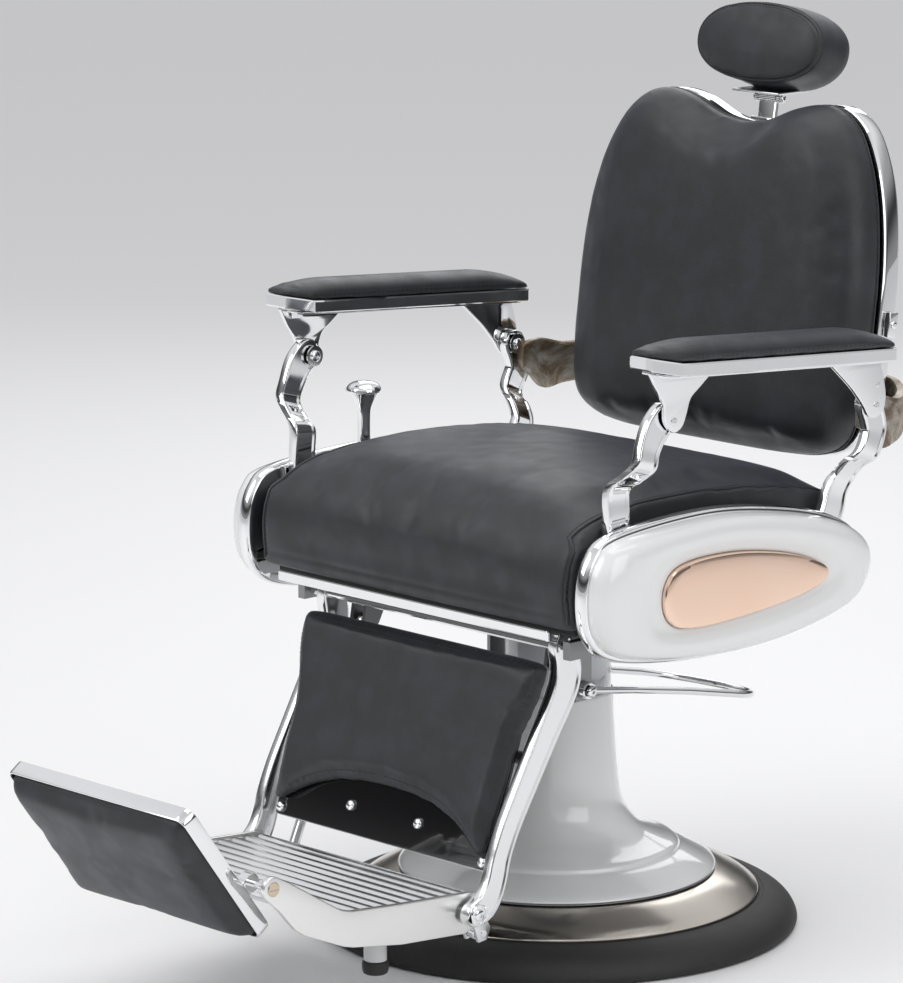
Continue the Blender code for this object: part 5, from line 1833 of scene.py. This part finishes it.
# ---------------------------------------------------------------- footplate and flap
@dataclass
class Footplate:
    """Cheeks, ribbed tread, bumper legs, and the struts that keep it level."""

    foot: tuple[float, float] = (-0.346, 0.116)
    hinge: tuple[float, float] = (-0.655, 0.205)
    strut_x: float = 0.172
    strut_top: tuple[float, float] = (-0.171, 0.385)
    ribs: int = 14
    rear: float = -0.327
    front: float = -0.625
    leg: tuple[float, float] = (0.150, -0.455)

    def build(self) -> None:
        """Make and place the footplate."""
        self.casting()
        self.bumpers()
        self.struts()

    def surface(self, y: float) -> float:
        """The tread's upper face between its ribs."""
        if y > -0.540:
            return 0.1325 - (y + 0.325) * 0.075
        return 0.1486 - (y + 0.540) * 0.36

    def casting(self) -> None:
        """Cheeks, tread, legs and lugs as one casting."""
        (fy, fz), (hy, hz) = self.foot, self.hinge
        nose = [(hy + 0.0148 * math.cos(a), hz + 0.0148 * math.sin(a))
                for a in np.radians(np.arange(70, 236, 15))]
        heel = [(fy + 0.0185, fz - 0.010), (fy + 0.0185, fz + 0.016),
                (fy + 0.0150, fz + 0.0225)]
        cheek = [*heel, (-0.400, 0.1435), (-0.455, 0.1475), (-0.532, 0.1545),
                 (-0.548, 0.1590), (-0.560, 0.1655), (-0.600, 0.1900),
                 (-0.632, 0.2095), *nose, (-0.6445, 0.1760), (-0.6200, 0.1490),
                 (-0.6070, 0.1405), (-0.575, 0.1265), (-0.545, 0.1140), (-0.5300, 0.1100),
                 (-0.453, 0.0975), (-0.400, 0.0935), (fy - 0.004, fz - 0.0265),
                 (fy + 0.012, fz - 0.0225)]
        side = Bench.plate(cheek, 0.1862, 0.1938, 0.0014)
        place_pair(side, "footplate_cheek", "footplate", SATIN, "polished_aluminium")
        screw = slotted((0.1938, hy, hz), (1, 0, 0), 0.0088, 0.0014)
        place_pair(screw, "hinge_screw", "footplate", SCREW, "chrome")
        place(self.tread(), "footplate_tread", "footplate", POLISHED,
              "polished_aluminium", ["footplate"], angle=50.0)
        x, y = self.leg
        leg = Bench.rod((x, y, 0.0700), (x, y, 0.1340), 0.0140, 0.001, 40)
        place_pair(leg, "footplate_leg", "footplate", LEG, "polished_aluminium")
        ly, lz = self.strut_top[0] + fy + 0.207, self.strut_top[1] + fz - 0.421
        lug = [(fy + 0.012, 0.1300), (fy + 0.021, 0.1325), (ly + 0.012, lz + 0.006),
               (ly + 0.006, lz - 0.009), (ly - 0.008, lz - 0.010), (ly - 0.0125, lz + 0.004),
               (fy + 0.011, fz - 0.008)]
        parts = [Bench.plate(lug, self.strut_x + low, self.strut_x + low + 0.005, 0.0008)
                 for low in (-0.0130, 0.0080)]
        parts.append(Bench.rod((self.strut_x - 0.014, ly, lz), (self.strut_x + 0.014, ly, lz),
                               0.0047))
        place_pair(Bench.joined(parts), "strut_lug", "footplate", POLISHED,
                   "polished_aluminium")

    def tread(self) -> bpy.types.Object:
        """The slab with a row of rounded ribs across it."""
        pitch = (self.rear - self.front) / self.ribs
        top = []
        for k in range(self.ribs):
            for share, height in ((0.06, 0), (0.16, 0.0012), (0.26, 0.0026), (0.38, 0.0034),
                                  (0.50, 0.0036), (0.62, 0.0034), (0.74, 0.0026),
                                  (0.84, 0.0012), (0.94, 0)):
                y = self.rear - (k + share) * pitch
                top.append((y, self.surface(y) + height - 0.0004))
        under = [(y, self.surface(y) - 0.006) for y in (self.front, -0.540, self.rear)]
        return Bench.plate([*top, *under], -0.1861, 0.1861, 0.0004)

    def bumpers(self) -> None:
        """Rubber caps under the two legs."""
        x, y = self.leg
        outline = [(0, 0.0540), (0.0125, 0.0540), (0.0145, 0.0552), (0.0156, 0.0580),
                   (0.0160, 0.0620), (0.0160, 0.0672), (0.0154, 0.0690), (0.0143, 0.0697),
                   (0, 0.0697)]
        place_pair(Bench.turned(outline, 40, (x, y, 0)), "bumper_cap", "footplate", RUBBER,
                   "rubber", ["foot_bumper_{}"])

    def struts(self) -> None:
        """Thin bars that run beside the rails."""
        (ty, tz) = self.strut_top
        fy, fz = ty + self.foot[0] + 0.207, tz + self.foot[1] - 0.421
        knots = []
        for share, half in ((0.0, 0.0098), (0.025, 0.0095), (0.06, 0.0062), (0.5, 0.0060),
                            (0.94, 0.0062), (0.975, 0.0095), (1.0, 0.0098)):
            knots.append((self.strut_x, ty + (fy - ty) * share, tz + (fz - tz) * share, half))
        item = Bar(knots, 0.0096, 0.0016, 0.0002, 4).made()
        place_pair(item, "strut_bar", "foot_links", CHROME, "chrome", ["foot_link_{}"])


@dataclass
class Flap:
    """The flip-over panel: a chrome tray round a crowned pad."""

    corner: tuple[float, float] = (-0.629, 0.144)
    lean: float = math.radians(126.2)
    long: float = 0.203
    half: float = 0.158
    hinge: tuple[float, float] = (-0.655, 0.205)
    frame: Matrix = field(init=False)

    def __post_init__(self) -> None:
        """Axes with y up the panel and z out of its metal side."""
        self.frame = leaned(self.corner, self.lean)

    def build(self) -> None:
        """Make and place the flap."""
        self.tray()
        self.pad()
        self.hinges()

    def around(self, shrink: float, corner: float = 0.012) -> list[tuple[float, float]]:
        """The panel's rounded outline, so far inside its edge."""
        points = []
        r = max(0.002, corner - shrink)
        for cx, cy, start in ((1, 1, 0), (-1, 1, 90), (-1, 0, 180), (1, 0, 270)):
            x = cx * (self.half - shrink - r)
            y = self.long - shrink - r if cy else shrink + r
            points += [(x + r * math.cos(a), y + r * math.sin(a))
                       for a in np.radians(np.linspace(start, start + 90, 7))]
        return points

    def tray(self) -> None:
        """The chrome band and back of the panel, open towards the pad."""
        steps = [(0.0030, 0.0032), (0.0040, 0.0016), (0.0034, 0.0004), (0.0016, 0.0),
                 (-0.0140, 0.0), (-0.0156, 0.0006), (-0.0160, 0.0014), (-0.0156, 0.0024),
                 (-0.0140, 0.0030), (-0.0030, 0.0030)]
        rings = [[tuple(self.frame @ Vector((x, y, out))) for x, y in self.around(amount)]
                 for out, amount in steps]
        place(Bench.drawn(rings), "flap_band", "flap", CHROME, "chrome", ["flap_tray"],
              angle=25.0)

    def pad(self) -> None:
        """The crowned leather pad inside the band."""
        steps = [(-0.0040, 0.0052), (-0.0120, 0.0046), (-0.0175, 0.0048), (-0.0225, 0.0075),
                 (-0.0262, 0.0130), (-0.0290, 0.0220), (-0.0306, 0.0350), (-0.0314, 0.0520)]
        rings = [[tuple(self.frame @ Vector((x, y, out))) for x, y in self.around(amount, 0.016)]
                 for out, amount in steps]
        item = Bench.drawn(rings)
        inverse = self.frame.inverted()

        def limit(points: np.ndarray) -> np.ndarray:
            """Swell the face, away from the band."""
            depth = np.array([(inverse @ Vector(p))[2] for p in points])
            return np.clip((-0.016 - depth) / 0.008, 0, 1) + 0.01
        item = Stuffing(0.0045, 4.0, 0.0055).puff(item, limit)
        place(item, "flap_cushion", "flap", BLACK_LEATHER, "black_leather", ["flap_pad"],
              fill=0.8, angle=60.0)

    def hinges(self) -> None:
        """Two barrels on the pin between the footplate's cheeks."""
        y, z = self.hinge
        local = self.frame.inverted() @ Vector((0, y, z))
        parts = [Bench.rod((-0.1858, y, z), (0.1858, y, z), 0.0039)]
        for side in Side:
            low, high = sorted((side.value * 0.143, side.value * 0.157))
            parts.append(Bench.rod((low, y, z), (high, y, z), 0.0115, 0.0008, 36))
            lug = Bench.plate([(local.y - 0.0110, 0.0030), (local.y + 0.0110, 0.0030),
                               (local.y + 0.0075, local.z), (local.y - 0.0075, local.z)],
                              low + 0.0010, high - 0.0010, 0.0010)
            lug.data.transform(self.frame)
            parts.append(lug)
        place(Bench.joined(parts), "flap_hinges", "flap", CHROME, "chrome")


# ---------------------------------------------------------------- studio
@dataclass
class Softbox:
    """A large soft light aimed at the chair."""

    name: str
    at: tuple[float, float, float]
    size: float
    power: float

    def build(self, aim: Vector) -> None:
        """Add the light, facing a point."""
        bpy.ops.object.light_add(type="AREA", location=self.at)
        item = bpy.context.object
        item.name = self.name
        item.data.shape = "RECTANGLE"
        item.data.size = item.data.size_y = self.size
        item.data.energy = self.power
        item.rotation_euler = (aim - Vector(self.at)).to_track_quat("-Z", "Y").to_euler()
        item.visible_camera = False


@dataclass
class Studio:
    """Floor, backdrop, lights and camera."""

    azimuth: float = math.radians(46.05)
    pitch: float = math.radians(11.42)
    eye: tuple[float, float, float] = (4.284, -4.315, 1.778)
    lens: float = 181.98
    lights: tuple[Softbox, ...] = (
        Softbox("key_light", (-1.6, -3.4, 3.0), 2.6, 50.0),
        Softbox("fill_light", (3.6, -0.4, 2.0), 2.4, 28.0),
        Softbox("top_light", (0.0, 0.2, 3.8), 3.0, 36.0),
        Softbox("rear_light", (-2.2, 2.8, 2.4), 2.2, 23.0))

    def build(self) -> None:
        """Set up everything that isn't the chair."""
        self.camera()
        self.floor()
        self.sky()
        for light in self.lights:
            light.build(Vector((0, -0.1, 0.55)))
        scene = bpy.context.scene
        scene.view_settings.view_transform = "Standard"

    def camera(self) -> None:
        """The main view, from the chair's front left."""
        bpy.ops.object.camera_add(location=self.eye)
        item = bpy.context.object
        item.name = "main_camera"
        ahead = Vector((-math.sin(self.azimuth) * math.cos(self.pitch),
                        math.cos(self.azimuth) * math.cos(self.pitch), -math.sin(self.pitch)))
        item.rotation_euler = ahead.to_track_quat("-Z", "Y").to_euler()
        item.data.lens = self.lens
        item.data.sensor_width = 36.0
        item.data.clip_end = 60.0
        bpy.context.scene.camera = item

    def floor(self) -> None:
        """A wide pale floor."""
        bpy.ops.object.select_all(action="DESELECT")
        bpy.ops.mesh.primitive_plane_add(size=30.0, location=(0, 0, -0.0004))
        item = bpy.context.object
        item.name = "studio_floor"
        board = Board("studio_floor")
        cloud = board.noise(0.8, 2.0)
        board.dress(Base_Color=board.mix(cloud, (0.93, 0.93, 0.93), (0.90, 0.90, 0.905)),
                    Roughness=cloud * 0.1 + 0.50, Metallic=0.0)
        item.data.materials.append(board.material)

    def sky(self) -> None:
        """White to the camera; a dim room with bright bands to the metal."""
        world = bpy.data.worlds.new("studio")
        bpy.context.scene.world = world
        world.use_nodes = True
        tree = world.node_tree
        tree.nodes.clear()

        def add(kind: str, **values: object) -> bpy.types.Node:
            """Add a node with its socket values."""
            made = tree.nodes.new(kind)
            for key, given in values.items():
                made.inputs[key].default_value = given
            return made
        place = add("ShaderNodeTexCoord")
        split = add("ShaderNodeSeparateXYZ")
        tree.links.new(place.outputs["Generated"], split.inputs[0])
        ramp = add("ShaderNodeValToRGB")
        ramp.color_ramp.interpolation = "EASE"
        for index, (at, tone) in enumerate(((0.0, 0.60), (0.40, 0.72), (0.49, 0.30),
                                            (0.56, 0.05), (0.66, 0.40), (0.80, 0.95),
                                            (1.0, 0.75))):
            stop = (ramp.color_ramp.elements[index] if index < 2
                    else ramp.color_ramp.elements.new(at))
            stop.position = at
            stop.color = (tone, tone, tone * 1.02, 1.0)
        scale = add("ShaderNodeMath")
        scale.operation = "MULTIPLY_ADD"
        tree.links.new(split.outputs["Z"], scale.inputs[0])
        scale.inputs[1].default_value = scale.inputs[2].default_value = 0.5
        tree.links.new(scale.outputs[0], ramp.inputs[0])
        room = add("ShaderNodeBackground", Strength=0.85)
        tree.links.new(ramp.outputs[0], room.inputs["Color"])
        white = add("ShaderNodeBackground", Color=(1, 1, 1, 1), Strength=1.0)
        path = add("ShaderNodeLightPath")
        choose = add("ShaderNodeMixShader")
        tree.links.new(path.outputs["Is Camera Ray"], choose.inputs[0])
        tree.links.new(room.outputs[0], choose.inputs[1])
        tree.links.new(white.outputs[0], choose.inputs[2])
        end = add("ShaderNodeOutputWorld")
        tree.links.new(choose.outputs[0], end.inputs["Surface"])


def dress_nodes(frame: dict) -> None:
    """Give every node that still shows the finish of its slot.

    Args:
        frame: the loaded frame.
    """
    slots = {part["node"]: part["material_slot"] for part in frame["record"]["subparts"]}
    for name, item in frame["nodes"].items():
        finish = SLOT_FINISH[slots[name]]
        item.data.materials.clear()
        item.data.materials.append(finish.material())
        log.info("dressed %s in %s", name, finish.name)


def main() -> None:
    """Build the chair's looks around its frame."""
    logging.basicConfig(level=logging.INFO, format="%(name)s: %(message)s")
    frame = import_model()
    dress_nodes(frame)
    back = Back()
    for part in (Base(), Column(), SidePanel(), Seat(), Posts(), Armrest(), back,
                 Headrest(back), Legrest(), Footplate(), Flap()):
        before = len(PLACED)
        part.build()
        for name in PLACED[before:]:
            log.info("%s: %s, %d faces", type(part).__name__, name,
                     len(bpy.data.meshes[name].polygons))
    Studio().build()


if __name__ == "__main__":
    main()
